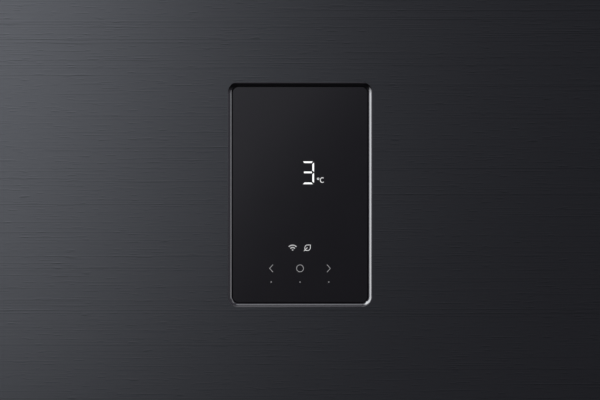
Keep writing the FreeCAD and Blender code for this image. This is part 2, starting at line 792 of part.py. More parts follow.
def kick_plate():
    """Grille below the door, up to the bottom hinge."""
    right = half_width - HINGE_SETBACK - HINGE_BASE_WIDTH - KICK_END_GAP
    wide = (KICK_END_GAP - half_width, right)
    tall = (KICK_FLOOR_GAP, door_bottom_z - KICK_TOP_GAP)
    plate = box(wide, (cab_front_y - KICK_SHEET, cab_front_y), tall)
    middle = (wide[0] + wide[1]) / 2
    slot_z = (tall[0] + KICK_SLOT_MARGIN, tall[1] - KICK_SLOT_MARGIN)
    slots = []
    for index in range(KICK_SLOTS):
        x = middle + (index - (KICK_SLOTS - 1) / 2) * KICK_SLOT_PITCH
        slot_x = (x - KICK_SLOT_WIDTH / 2, x + KICK_SLOT_WIDTH / 2)
        slot_y = (cab_front_y - KICK_SHEET, cab_front_y)
        slots.append(rounded_prism("xz", slot_x, slot_z, slot_y, KICK_SLOT_WIDTH * SLOT_END_RATIO))
    return plate.cut(slots)


def hinge_arm(z):
    """Flat arm from the cabinet's front to an eye round the hinge axis."""
    arm_x = (hinge_x - HINGE_EYE, hinge_x + HINGE_EYE)
    arm = box(arm_x, (hinge_y, cab_front_y + HINGE_SETBACK), z)
    return arm.fuse(upright(HINGE_EYE, hinge_x, hinge_y, z))


def top_hinge():
    z = (cab_top_z, cab_top_z + HINGE_PLATE)
    base_x = (half_width - HINGE_SETBACK - HINGE_BASE_WIDTH, half_width - HINGE_SETBACK)
    base_y = (cab_front_y + HINGE_SETBACK, cab_front_y + HINGE_SETBACK + HINGE_BASE_DEPTH)
    base = rounded_prism("xy", base_x, base_y, z, HINGE_SETBACK)
    pin = upright(HINGE_PIN, hinge_x, hinge_y, (door_top_z - HINGE_PIN_DEPTH, z[1]))
    gusset_x = (hinge_x - GUSSET_REACH, base_x[1] - HINGE_SETBACK)
    gusset = box(gusset_x, (base_y[0], base_y[0] + HINGE_EYE), z)
    return base.fuse([hinge_arm(z), gusset, pin]).cut(hinge_screw_holes(SEAT_FIT))


def top_hinge_cover():
    left = half_width - HINGE_SETBACK - HINGE_BASE_WIDTH - HINGE_COVER_MARGIN
    outer_x = (left, half_width - HINGE_COVER_WALL)
    front = hinge_y - HINGE_EYE - HINGE_COVER_MARGIN
    rear = cab_front_y + HINGE_SETBACK + HINGE_BASE_DEPTH + HINGE_COVER_MARGIN
    outer = rounded_prism("xy", outer_x, (front, rear), (cab_top_z, HEIGHT), HINGE_COVER_CORNER)
    upper = [edge for edge in outer.Edges if edge.BoundBox.ZMin > HEIGHT - SHEET]
    outer = outer.makeFillet(HINGE_COVER_EDGE, upper)
    wall = HINGE_COVER_WALL
    inner_x = (outer_x[0] + wall, outer_x[1] - wall)
    inner_y = (front + wall, rear - wall)
    inner_r = HINGE_COVER_CORNER - wall
    return outer.cut(rounded_prism("xy", inner_x, inner_y, (cab_top_z, HEIGHT - wall), inner_r))


def bottom_hinge():
    base_x = (half_width - HINGE_SETBACK - HINGE_BASE_WIDTH, half_width - HINGE_SETBACK)
    plate_top = door_bottom_z - HINGE_PLATE
    plate_y = (cab_front_y - HINGE_PLATE, cab_front_y)
    plate = box(base_x, plate_y, (base_z, plate_top))
    arm_z = (door_bottom_z - HINGE_COLLAR - HINGE_PLATE, door_bottom_z - HINGE_COLLAR)
    arm_x = (hinge_x - HINGE_EYE, hinge_x + HINGE_EYE)
    arm = box(arm_x, (hinge_y, cab_front_y), arm_z)
    eye = upright(HINGE_EYE, hinge_x, hinge_y, arm_z)
    collar = upright(BUSH_RADIUS, hinge_x, hinge_y, (arm_z[0], door_bottom_z - PLAY))
    pin = upright(HINGE_PIN, hinge_x, hinge_y, (arm_z[0], door_bottom_z + HINGE_PIN_DEPTH))
    return plate.fuse([arm, eye, collar, pin]).cut(hinge_screw_holes(SEAT_FIT))


def nut_prism(x, y, z):
    corners = []
    for index in range(NUT_SIDES):
        angle = 2 * math.pi * index / NUT_SIDES
        corners.append(V(x + NUT_RADIUS * math.cos(angle), y + NUT_RADIUS * math.sin(angle), z))
    face = Part.Face(Part.makePolygon(corners + corners[:1]))
    return face.extrude(V(0, 0, NUT_HEIGHT))


def fasteners():
    """Hinge screws, machine cover screws and compressor nuts."""
    down = V(0, 0, -1)
    inward = V(0, 1, 0)
    solids = []
    for seat in top_screw_seats():
        solids.append(screw(seat, down, HINGE_SCREW_RADIUS, HINGE_SCREW_LENGTH))
    for seat in bottom_screw_seats():
        solids.append(screw(seat, inward, HINGE_SCREW_RADIUS, HINGE_SCREW_LENGTH))
    for seat in cover_screw_seats():
        solids.append(screw(seat, V(0, -1, 0), SCREW_RADIUS, SCREW_LENGTH))
    for x, y in mount_places():
        nut = nut_prism(x, y, compressor_z)
        stud = upright(STUD_RADIUS + SEAT_FIT, x, y, (compressor_z, compressor_z + NUT_HEIGHT))
        solids.append(nut.cut(stud))
    return Part.makeCompound(solids)


def compressor():
    """Welded steel pot with a dome, a seam band and a mounting plate."""
    pot = upright(COMPRESSOR_RADIUS, compressor_x, machine_mid_y, (compressor_z, compressor_top_z))
    top = [edge for edge in pot.Edges if edge.BoundBox.ZMin > compressor_top_z - SHEET]
    pot = pot.makeFillet(COMPRESSOR_DOME, top)
    seam_z = compressor_z + COMPRESSOR_HEIGHT / 2
    seam = upright(
        COMPRESSOR_RADIUS + COMPRESSOR_SEAM,
        compressor_x,
        machine_mid_y,
        (seam_z, seam_z + COMPRESSOR_SEAM_HEIGHT),
    )
    reach_y = MOUNT_SPAN_Y / 2 + MOUNT_MARGIN
    plate_x = (compressor_x - mount_reach_x, compressor_x + mount_reach_x)
    plate_y = (machine_mid_y - reach_y, machine_mid_y + reach_y)
    plate_z = (compressor_z - COMPRESSOR_PLATE, compressor_z)
    plate = rounded_prism("xy", plate_x, plate_y, plate_z, MOUNT_MARGIN)
    holes = []
    for x, y in mount_places():
        holes.append(upright(STUD_RADIUS + SEAT_FIT, x, y, plate_z))
        holes.append(upright(NUT_RADIUS + PLAY, x, y, (compressor_z, seam_z)))
    return pot.fuse([seam, plate]).cut(holes)


def compressor_grommets():
    solids = []
    for x, y in mount_places():
        ring = upright(GROMMET_RADIUS, x, y, (pan_top_z, pan_top_z + GROMMET_HEIGHT))
        bore = upright(STUD_RADIUS + SEAT_FIT, x, y, (pan_top_z, pan_top_z + GROMMET_HEIGHT))
        solids.append(ring.cut(bore))
    return Part.makeCompound(solids)


def relay_cover():
    """Plastic cover over the compressor's terminals, on its left side."""
    outer_x = compressor_x - COMPRESSOR_RADIUS - RELAY_DEPTH
    wide = (machine_mid_y - RELAY_WIDTH / 2, machine_mid_y + RELAY_WIDTH / 2)
    bottom = compressor_z + RELAY_RISE
    tall = (bottom, bottom + RELAY_HEIGHT)
    block = rounded_prism("yz", wide, tall, (outer_x, compressor_x), RELAY_CORNER)
    return block.cut(compressor_body_room())


def compressor_body_room():
    """Space of the pot and its seam band."""
    tall = (base_z, compressor_top_z)
    return upright(COMPRESSOR_RADIUS + COMPRESSOR_SEAM, compressor_x, machine_mid_y, tall)


def tray_bounds():
    x = (tray_x, tray_x + TRAY_LENGTH)
    y = (machine_mid_y - TRAY_WIDTH / 2, machine_mid_y + TRAY_WIDTH / 2)
    return x, y


def evaporation_tray():
    """Open tray on top of the compressor that takes the melt water."""
    x, y = tray_bounds()
    z = (compressor_top_z, compressor_top_z + TRAY_HEIGHT)
    outer = rounded_prism("xy", x, y, z, TRAY_CORNER)
    inner_x = (x[0] + TRAY_WALL, x[1] - TRAY_WALL)
    inner_y = (y[0] + TRAY_WALL, y[1] - TRAY_WALL)
    inner_z = (z[0] + TRAY_WALL, z[1])
    return outer.cut(rounded_prism("xy", inner_x, inner_y, inner_z, TRAY_CORNER - TRAY_WALL))


def drain_tube():
    z = (machine_top_z - DRAIN_DIP, hump_z)
    tube = upright(DRAIN_RADIUS, compressor_x, drain_y, z)
    return tube.cut(upright(DRAIN_RADIUS - DRAIN_WALL, compressor_x, drain_y, z))


def condenser_bounds():
    x = (condenser_x, shell_half - CONDENSER_SIDE_GAP)
    y = (machine_mid_y - CONDENSER_DEPTH / 2, machine_mid_y + CONDENSER_DEPTH / 2)
    return x, y, (pan_top_z, pan_top_z + CONDENSER_HEIGHT)


def condenser():
    return finned_coil(*condenser_bounds(), CONDENSER_ROWS)


def refrigerant_pipes():
    """Discharge line to the condenser and suction line to the bulkhead, from the pot's right side."""
    side_x = compressor_x + COMPRESSOR_RADIUS
    turn_x = side_x + COMPRESSOR_SEAM + PIPE_STUB
    low_z = compressor_z + DISCHARGE_RISE
    high_z = compressor_z + SUCTION_RISE
    x, y, z = condenser_bounds()
    row_z = z[0] + CONDENSER_HEIGHT / CONDENSER_ROWS / 2
    near_y = machine_wall_y + PIPE_STUB
    discharge = [
        V(side_x, machine_mid_y, low_z),
        V(turn_x, machine_mid_y, low_z),
        V(turn_x, near_y, low_z),
        V(turn_x, near_y, row_z),
        V(x[0] - PIPE_STUB, near_y, row_z),
        V(x[0] - PIPE_STUB, machine_mid_y, row_z),
        V(x[0], machine_mid_y, row_z),
    ]
    suction = [
        V(side_x, machine_mid_y, high_z),
        V(turn_x, machine_mid_y, high_z),
        V(turn_x, machine_wall_y, high_z),
    ]
    return Part.makeCompound([pipe(line, PIPE_BEND, PIPE_RADIUS) for line in (discharge, suction)])


def condenser_fan_motor():
    """Motor on a post from the pan, with its shaft towards the condenser."""
    x = (cooling_motor_x, cooling_motor_x + COOLING_MOTOR_LENGTH)
    start = V(x[0], machine_mid_y, COOLING_FAN_Z)
    along = V(1, 0, 0)
    motor = cylinder(COOLING_MOTOR_RADIUS, start, along, COOLING_MOTOR_LENGTH)
    shaft_length = COOLING_MOTOR_LENGTH + FAN_STANDOFF + FAN_WIDTH
    shaft = cylinder(FAN_SHAFT, start, along, shaft_length)
    post_y = (machine_mid_y - MOTOR_POST_WIDTH / 2, machine_mid_y + MOTOR_POST_WIDTH / 2)
    post = box((x[0] + MOTOR_POST_INSET, x[1] - MOTOR_POST_INSET), post_y, (pan_top_z, COOLING_FAN_Z))
    return motor.fuse([shaft, post])


def condenser_fan():
    start = V(cooling_fan_x, machine_mid_y, COOLING_FAN_Z)
    return placed(fan(COOLING_FAN_RADIUS), start, V(1, 0, 0))


def control_box():
    x = (control_box_x, control_box_x + CONTROL_BOX_WIDTH)
    bottom = pan_top_z + CONTROL_BOX_RISE
    y = (machine_wall_y, machine_wall_y + CONTROL_BOX_DEPTH)
    z = (bottom, bottom + CONTROL_BOX_HEIGHT)
    return rounded_prism("xz", x, z, y, CONTROL_BOX_CORNER)


def inlet_bounds(grow):
    z = base_z + INLET_RISE
    x = (inlet_x - INLET_WIDTH / 2 - grow, inlet_x + INLET_WIDTH / 2 + grow)
    return x, (z - INLET_HEIGHT / 2 - grow, z + INLET_HEIGHT / 2 + grow)


def power_inlet():
    """Three-pin inlet set in the machine cover."""
    x, z = inlet_bounds(0)
    rear = cover_outer_y
    body = box(x, (rear - INLET_DEPTH, rear), z)
    flange_x, flange_z = inlet_bounds(INLET_FLANGE)
    flange = box(flange_x, (cover_inner_y - INLET_FLANGE_SHEET, cover_inner_y), flange_z)
    socket_x, socket_z = inlet_bounds(-INLET_WALL)
    socket = box(socket_x, (rear - INLET_SOCKET, rear), socket_z)
    pins = []
    for index in (-1, 0, 1):
        px = inlet_x + index * INLET_PIN_PITCH
        pin_x = (px - INLET_PIN_WIDTH / 2, px + INLET_PIN_WIDTH / 2)
        middle_z = (z[0] + z[1]) / 2
        pin_z = (middle_z - INLET_PIN_HEIGHT / 2, middle_z + INLET_PIN_HEIGHT / 2)
        start = rear - INLET_SOCKET
        pins.append(box(pin_x, (start, start + INLET_PIN_LENGTH), pin_z))
    return body.fuse(flange).cut(socket).fuse(pins)


def machine_cover():
    """Louvred plate over the machine compartment."""
    wide = both(shell_half - PANEL_GAP)
    tall = (base_z, machine_top_z - SHEET - PANEL_GAP)
    thick = (cover_inner_y, cover_outer_y)
    plate = box(wide, thick, tall)
    cuts = []
    for column in range(LOUVRE_COLUMNS):
        x = (column - (LOUVRE_COLUMNS - 1) / 2) * LOUVRE_PITCH_X
        for row in range(LOUVRE_ROWS):
            z = (tall[0] + tall[1]) / 2 + (row - (LOUVRE_ROWS - 1) / 2) * LOUVRE_PITCH_Z
            slot_x = (x - LOUVRE_WIDTH / 2, x + LOUVRE_WIDTH / 2)
            slot_z = (z - LOUVRE_HEIGHT / 2, z + LOUVRE_HEIGHT / 2)
            cuts.append(rounded_prism("xz", slot_x, slot_z, thick, LOUVRE_HEIGHT * SLOT_END_RATIO))
    socket_x, socket_z = inlet_bounds(SEAT_FIT)
    cuts.append(box(socket_x, thick, socket_z))
    return plate.cut(cuts + cover_screw_holes(SEAT_FIT))


def foot():
    """Screw foot on the right: a pad and a stud through the weld nut."""
    pad = upright(FOOT_RADIUS, foot_x, foot_y, (0, FOOT_PAD))
    pad = pad.makeFillet(FOOT_EDGE, pad.Edges[0:1])
    stud_top = base_z + FOOT_NUT_HEIGHT + FOOT_STUD_RISE
    return pad.fuse(upright(FOOT_STUD, foot_x, foot_y, (FOOT_PAD, stud_top)))


def roller():
    start = V(roller_x - ROLLER_WIDTH / 2, roller_y, ROLLER_RADIUS)
    along = V(1, 0, 0)
    wheel = cylinder(ROLLER_RADIUS, start, along, ROLLER_WIDTH)
    rims = [edge for edge in wheel.Edges if edge.Closed]
    wheel = wheel.makeFillet(ROLLER_EDGE, rims)
    return wheel.cut(cylinder(ROLLER_AXLE + RUN_FIT, start, along, ROLLER_WIDTH))


def evaporator():
    x = both(EVAPORATOR_WIDTH / 2)
    y = (inner_back_y - EVAPORATOR_DEPTH, inner_back_y)
    z = (hump_z + EVAPORATOR_RISE, hump_z + EVAPORATOR_RISE + EVAPORATOR_HEIGHT)
    return finned_coil(x, y, z, EVAPORATOR_ROWS)


def evaporator_fan_motor():
    start = V(0, inner_back_y, hump_z + AIR_FAN_RISE)
    forward = V(0, -1, 0)
    motor = cylinder(AIR_MOTOR_RADIUS, start, forward, AIR_MOTOR_LENGTH)
    shaft_length = AIR_MOTOR_LENGTH + FAN_STANDOFF + FAN_WIDTH
    return motor.fuse(cylinder(FAN_SHAFT, start, forward, shaft_length))


def evaporator_fan():
    start_y = inner_back_y - AIR_MOTOR_LENGTH - FAN_STANDOFF
    return placed(fan(AIR_FAN_RADIUS), V(0, start_y, hump_z + AIR_FAN_RISE), V(0, -1, 0))


def vent_slots():
    """Air outlets above each shelf and return slots at the foot of the duct cover."""
    thick = (duct_front_y, duct_front_y + DUCT_WALL)
    slots = []
    for level in [crisper_cover_z] + shelf_levels():
        z = (level + VENT_RISE, level + VENT_RISE + VENT_HEIGHT)
        for index in range(VENT_COUNT):
            x = (index - (VENT_COUNT - 1) / 2) * VENT_PITCH
            slot_x = (x - VENT_WIDTH / 2, x + VENT_WIDTH / 2)
            slots.append(rounded_prism("xz", slot_x, z, thick, VENT_HEIGHT * SLOT_END_RATIO))
    z = (hump_z + RETURN_RISE, hump_z + RETURN_RISE + RETURN_HEIGHT)
    for index in range(RETURN_SLOTS):
        x = (index - (RETURN_SLOTS - 1) / 2) * RETURN_PITCH
        slot_x = (x - RETURN_WIDTH / 2, x + RETURN_WIDTH / 2)
        slots.append(rounded_prism("xz", slot_x, z, thick, RETURN_WIDTH * SLOT_END_RATIO))
    return slots


def duct_cover():
    """Shallow cover on the back wall in front of the evaporator and its fan."""
    z = (hump_z, ceiling_z - DUCT_TOP_GAP)
    outer_y = (duct_front_y, inner_back_y)
    outer = rounded_prism("xz", both(duct_half), z, outer_y, (0, 0, DUCT_CORNER, DUCT_CORNER))
    inner_z = (z[0] + DUCT_WALL, z[1] - DUCT_WALL)
    inner_y = (duct_front_y + DUCT_WALL, inner_back_y)
    inner_r = DUCT_CORNER - DUCT_WALL
    inner = rounded_prism("xz", both(duct_half - DUCT_WALL), inner_z, inner_y, (0, 0, inner_r, inner_r))
    return outer.cut([inner, drain_mouth()] + vent_slots())


def drain_mouth():
    """Hole in the foot of the duct cover over the drain."""
    return upright(DRAIN_RADIUS, compressor_x, drain_y, (hump_z, hump_z + DUCT_WALL))


def lamp_y():
    middle = cab_front_y + LAMP_SETBACK
    return (middle - LAMP_WIDTH / 2, middle + LAMP_WIDTH / 2)


def lens_bounds(grow):
    y = lamp_y()
    x = both(LAMP_LENGTH / 2 - LAMP_BORDER + grow)
    return x, (y[0] + LAMP_BORDER - grow, y[1] - LAMP_BORDER + grow)


def lamp_housing():
    bottom = ceiling_z - LAMP_HEIGHT
    z = (bottom, ceiling_z)
    outer = rounded_prism("xy", both(LAMP_LENGTH / 2), lamp_y(), z, LAMP_CORNER)
    mouth_x, mouth_y = lens_bounds(LENS_GAP)
    mouth = rounded_prism("xy", mouth_x, mouth_y, (bottom, bottom + LENS_SHEET), LENS_CORNER)
    deep_x, deep_y = lens_bounds(-LENS_SEAT)
    deep = rounded_prism("xy", deep_x, deep_y, (bottom, ceiling_z - LENS_SHEET), LENS_CORNER)
    return outer.cut([mouth, deep])


def lamp_lens():
    bottom = ceiling_z - LAMP_HEIGHT
    x, y = lens_bounds(0)
    return rounded_prism("xy", x, y, (bottom, bottom + LENS_SHEET), LENS_CORNER)


def shelf_glass(level):
    x = both(inner_half - SHELF_SIDE_GAP)
    y = (shelf_front_y + TRIM_WALL, shelf_back_y - TRIM_WALL)
    return box(x, y, (level, level + SHELF_GLASS))


def shelf_trims(level):
    """Front and back edgings that clasp a shelf's glass."""
    x = both(inner_half - SHELF_SIDE_GAP)
    front_z = (level - TRIM_WALL, level + SHELF_GLASS + TRIM_WALL)
    front = box(x, (shelf_front_y, shelf_front_y + TRIM_DEPTH), front_z)
    near = [edge for edge in front.Edges if edge.BoundBox.YMax < shelf_front_y + SHEET]
    long = [edge for edge in near if edge.BoundBox.XLength > TRIM_DEPTH]
    front = front.makeFillet(TRIM_WALL - SHEET, long)
    back_z = (level - TRIM_WALL, level + SHELF_GLASS + BACK_TRIM_RISE)
    back = box(x, (shelf_back_y - BACK_TRIM_DEPTH, shelf_back_y), back_z)
    glass = shelf_glass(level)
    return [front.cut(glass), back.cut(glass)]


def drawer(bottom, top, back):
    """Drawer tub with sliding flanges along its top and a front with a grip."""
    tub_y = (drawer_front_y + DRAWER_FRONT, back)
    corners = (0, 0, DRAWER_CORNER, DRAWER_CORNER)
    outer = rounded_prism("xy", both(drawer_half), tub_y, (bottom, top), corners)
    inner_y = (tub_y[0], back - DRAWER_WALL)
    inner_r = DRAWER_CORNER - DRAWER_WALL
    inner_x = both(drawer_half - DRAWER_WALL)
    inner = rounded_prism("xy", inner_x, inner_y, (bottom + DRAWER_WALL, top), (0, 0, inner_r, inner_r))
    flange_x = (drawer_half - DRAWER_WALL, drawer_half + DRAWER_FLANGE)
    flange_y = (tub_y[0], back - DRAWER_CORNER)
    flange = box(flange_x, flange_y, (top - DRAWER_FLANGE_SHEET, top))
    front_x = both(drawer_half + DRAWER_FLANGE)
    front = rounded_prism("xz", front_x, (bottom, top), (drawer_front_y, tub_y[0]), DRAWER_FLANGE)
    grip_x = both(DRAWER_GRIP_WIDTH / 2)
    grip_y = (drawer_front_y - DRAWER_GRIP_REACH, drawer_front_y)
    grip_top = top - DRAWER_GRIP_DROP
    shelf = box(grip_x, grip_y, (grip_top - DRAWER_GRIP_SHEET, grip_top))
    lip_y = (grip_y[0], grip_y[0] + DRAWER_GRIP_SHEET)
    lip = box(grip_x, lip_y, (grip_top - DRAWER_GRIP_DROP, grip_top))
    return outer.cut(inner).fuse(pair(flange) + [front, shelf, lip])


def door_plan(inset, z):
    """Block with the door's plan outline, set in all round."""
    x = both(half_width - inset)
    y = (door_front_y + inset, door_back_y - inset)
    front = DOOR_CORNER - inset
    back = DOOR_BACK_CORNER - inset
    return rounded_prism("xy", x, y, z, (front, front, back, back))


def display_prism(grow, y, corner):
    x = both(DISPLAY_WIDTH / 2 + grow)
    z = (DISPLAY_Z - DISPLAY_HEIGHT / 2 - grow, DISPLAY_Z + DISPLAY_HEIGHT / 2 + grow)
    return rounded_prism("xz", x, z, y, corner)


def grip_bounds(inset):
    y = (door_front_y + GRIP_MARGIN + inset, door_back_y - GRIP_MARGIN - inset)
    z = (GRIP_HEIGHT - GRIP_LENGTH / 2 + inset, GRIP_HEIGHT + GRIP_LENGTH / 2 - inset)
    return y, z


def grip_pocket(inset):
    """Room of the recessed grip in the door's free edge."""
    y, z = grip_bounds(inset)
    x = (-half_width, GRIP_DEPTH - half_width - max(inset, 0))
    return rounded_prism("yz", y, z, x, GRIP_CORNER - max(inset, 0))


def housing_room():
    """Outer form of the display housing."""
    y = (door_front_y + SHEET, housing_back_y)
    return display_prism(SEAT_FIT + HOUSING_WALL, y, DISPLAY_CORNER + HOUSING_WALL)


def bush_boss(end_z, direction):
    """Boss of an end cap round the hinge bush, inside the foam."""
    start = V(hinge_x, hinge_y, end_z)
    return cylinder(BUSH_RADIUS + BUSH_BOSS_WALL, start, V(0, 0, direction), BUSH_LENGTH)


def bush_room(end_z, direction):
    start = V(hinge_x, hinge_y, end_z)
    return cylinder(BUSH_RADIUS + SEAT_FIT, start, V(0, 0, direction), BUSH_LENGTH)


def door_skin():
    z = (leaf_bottom_z, leaf_top_z)
    skin = door_plan(0, z).cut(door_plan(SHEET, z))
    opening_y = (door_back_y - DOOR_THICKNESS / 2, door_back_y)
    opening = box(both(half_width - DOOR_FLANGE), opening_y, z)
    display = display_prism(SEAT_FIT, (door_front_y, door_front_y + DOOR_CORNER), DISPLAY_CORNER)
    return skin.cut([opening, display, grip_pocket(-SEAT_FIT)])


def rib_ring(inset, y):
    """The raised rib round the door's inner face, set in from its own surface."""
    x = both(rib_half - inset)
    z = (rib_bottom_z + inset, rib_top_z - inset)
    return rounded_ring("xz", x, z, y, RIB_WIDTH - 2 * inset, RIB_CORNER - inset)


def liner_plate():
    y = (door_back_y - LINER, door_back_y)
    return box(both(half_width - DOOR_FLANGE), y, (leaf_bottom_z, leaf_top_z))


def rib_core():
    return rib_ring(LINER, (door_back_y - LINER, door_back_y + RIB_DEPTH - LINER))


def door_foam():
    block = door_plan(SHEET, (leaf_bottom_z, leaf_top_z)).cut(liner_plate()).fuse(rib_core())
    bosses = [bush_boss(door_bottom_z, 1), bush_boss(door_top_z, -1)]
    return block.cut([housing_room(), grip_pocket(-SEAT_FIT)] + bosses)


def bin_levels():
    """Bottom and height of each door bin."""
    first = rib_bottom_z + RIB_WIDTH + BIN_FIRST
    levels = []
    for index in range(BIN_COUNT):
        height = BOTTLE_BIN_HEIGHT if index == 0 else BIN_HEIGHT
        levels.append((first + BIN_PITCH * index, height))
    return levels


def boss_y():
    return (door_back_y + BOSS_SETBACK, door_back_y + BOSS_SETBACK + BOSS_DEPTH)


def door_liner():
    ribs = rib_ring(0, (door_back_y - LINER, door_back_y + RIB_DEPTH))
    bosses = []
    for bottom, height in bin_levels():
        top = bottom + BOSS_RISE
        x = (rib_inner_half - BOSS_REACH, rib_inner_half)
        bosses += pair(box(x, boss_y(), (top - BOSS_HEIGHT, top)))
    return liner_plate().fuse(ribs).cut(rib_core()).fuse(bosses)


def door_cap(end_z, direction):
    """End cap of the door with the boss for its hinge bush."""
    z = (min(end_z, end_z - direction * DOOR_CAP), max(end_z, end_z - direction * DOOR_CAP))
    plate = door_plan(0, z)
    rim = [e for e in plate.Edges if abs(e.CenterOfMass.z - end_z) < SHEET]
    plate = plate.makeFillet(CAP_EDGE, rim)
    return plate.fuse(bush_boss(end_z, -direction)).cut(bush_room(end_z, -direction))


def hinge_bushes():
    solids = []
    for end_z, direction in ((door_bottom_z, 1), (door_top_z, -1)):
        start = V(hinge_x, hinge_y, end_z)
        axis = V(0, 0, direction)
        sleeve = cylinder(BUSH_RADIUS, start, axis, BUSH_LENGTH)
        solids.append(sleeve.cut(cylinder(HINGE_PIN + RUN_FIT, start, axis, BUSH_LENGTH)))
    return Part.makeCompound(solids)


def door_handle():
    return grip_pocket(0).cut(grip_pocket(GRIP_WALL))


def door_gasket():
    """Seal with a foot on the door, a narrower bellows and a magnet head on the cabinet side."""
    edge = hinge_x - GASKET_EDGE_CLEARANCE
    inset = half_width - edge
    z = (door_bottom_z + inset, door_top_z - inset)
    neck_y = (door_back_y, cab_front_y - PLAY - GASKET_HEAD)
    head_y = (neck_y[1], cab_front_y - PLAY)
    foot_y_range = (door_back_y, door_back_y + GASKET_FOOT)
    narrow = GASKET_NARROW
    neck_z = (z[0] + narrow, z[1] - narrow)
    neck = rounded_ring("xz", both(edge - narrow), neck_z, neck_y, GASKET_WIDTH - 2 * narrow, 0)
    head = rounded_ring("xz", both(edge), z, head_y, GASKET_WIDTH, 0)
    foot_ring = rounded_ring("xz", both(edge), z, foot_y_range, GASKET_WIDTH, 0)
    return foot_ring.fuse([neck, head])


def display_bezel():
    """Rim round the display, rolled from the door's face down into the recess, with a glass ledge."""
    y = (door_front_y, door_front_y + RIM_DEPTH)
    inset = RIM_ROLL + RIM_FLAT
    blank = display_prism(0, y, DISPLAY_CORNER).cut(display_prism(-inset, y, DISPLAY_CORNER - inset))
    lip = []
    reach_x = DISPLAY_WIDTH / 2 - RIM / 2
    reach_z = DISPLAY_HEIGHT / 2 - RIM / 2
    for edge in blank.Edges:
        bounds = edge.BoundBox
        inside_x = max(-bounds.XMin, bounds.XMax) < reach_x
        inside_z = max(DISPLAY_Z - bounds.ZMin, bounds.ZMax - DISPLAY_Z) < reach_z
        if bounds.YMax < door_front_y + RIM_FLAT and inside_x and inside_z:
            lip.append(edge)
    frame = blank.makeFillet(RIM_ROLL, lip).cut(display_prism(-RIM, y, DISPLAY_CORNER - RIM))
    ledge_y = (display_back_y, y[1])
    ledge_ring = display_prism(-RIM, ledge_y, DISPLAY_CORNER - RIM)
    return frame.fuse(ledge_ring.cut(display_prism(-RIM - GLASS_LEDGE, ledge_y, GLASS_LEDGE)))


def display_glass():
    corner = max(DISPLAY_CORNER - RIM - GLASS_GAP, GLASS_GAP)
    return display_prism(-RIM - GLASS_GAP, (display_glass_y, display_back_y), corner)


def board_half():
    return DISPLAY_WIDTH / 2 - BOARD_MARGIN, DISPLAY_HEIGHT / 2 - BOARD_MARGIN


def display_housing():
    """Tub behind the door skin that holds the rim and the circuit board."""
    inner_y = (door_front_y + SHEET, housing_back_y - HOUSING_WALL)
    tub = housing_room().cut(display_prism(SEAT_FIT, inner_y, DISPLAY_CORNER))
    half_x, half_z = board_half()
    posts = []
    for side in (-1, 1):
        for level in (-1, 1):
            start = V(side * (half_x - BOARD_POST), board_back_y, DISPLAY_Z + level * (half_z - BOARD_POST))
            posts.append(cylinder(BOARD_POST, start, V(0, 1, 0), BOARD_STANDOFF))
    return tub.fuse(posts)


def display_board():
    """Circuit board with the digit block and a touch pad behind each key."""
    half_x, half_z = board_half()
    z = (DISPLAY_Z - half_z, DISPLAY_Z + half_z)
    board = box(both(half_x), (board_front_y, board_back_y), z)
    raised_y = (display_back_y + PLAY, board_front_y)
    digit_z = DISPLAY_Z + DIGIT_RISE
    digit_range = (digit_z - DIGIT_BLOCK_HEIGHT / 2, digit_z + DIGIT_BLOCK_HEIGHT / 2)
    added = [box(both(DIGIT_BLOCK_WIDTH / 2), raised_y, digit_range)]
    for index in range(KEY_COUNT):
        x = (index - (KEY_COUNT - 1) / 2) * KEY_PITCH
        start = V(x, raised_y[0], DISPLAY_Z - KEY_DROP)
        added.append(cylinder(KEY_PAD, start, V(0, 1, 0), raised_y[1] - raised_y[0]))
    return board.fuse(added)


def door_bin(bottom, height):
    """Lift-out bin with ears that hang on the bosses of the door ribs."""
    half = rib_inner_half - BOSS_REACH - EAR_GAP
    y = (door_back_y + BIN_BACK_GAP, bin_front_y - BIN_RIM)
    top = bottom + height
    corners = (BIN_BACK_CORNER, BIN_BACK_CORNER, BIN_CORNER, BIN_CORNER)
    outer = rounded_prism("xy", both(half), y, (bottom, top), corners)
    rim_y = (y[1] - BIN_CORNER, y[1] + BIN_RIM)
    rim_z = (top - BIN_RIM_HEIGHT, top)
    rim = rounded_prism("xy", both(half), rim_y, rim_z, (0, 0, BIN_RIM_CORNER, BIN_RIM_CORNER))
    inner_y = (y[0] + BIN_WALL, y[1] - BIN_WALL)
    inner_corners = tuple(corner - BIN_WALL for corner in corners)
    inner = rounded_prism("xy", both(half - BIN_WALL), inner_y, (bottom + BIN_WALL, top), inner_corners)
    ear_z = bottom + BOSS_RISE + SLIDE_GAP
    ear = box((half - BIN_WALL, rib_inner_half - EAR_GAP), boss_y(), (ear_z, ear_z + EAR_HEIGHT))
    return outer.fuse(rim).cut(inner).fuse(pair(ear))


def swung_open(shape):
    """A door piece, drawn shut, turned about the hinge axis to the door's stop."""
    turned = shape.copy()
    turned.rotate(V(hinge_x, hinge_y, 0), V(0, 0, 1), DOOR_OPEN_ANGLE)
    return turned


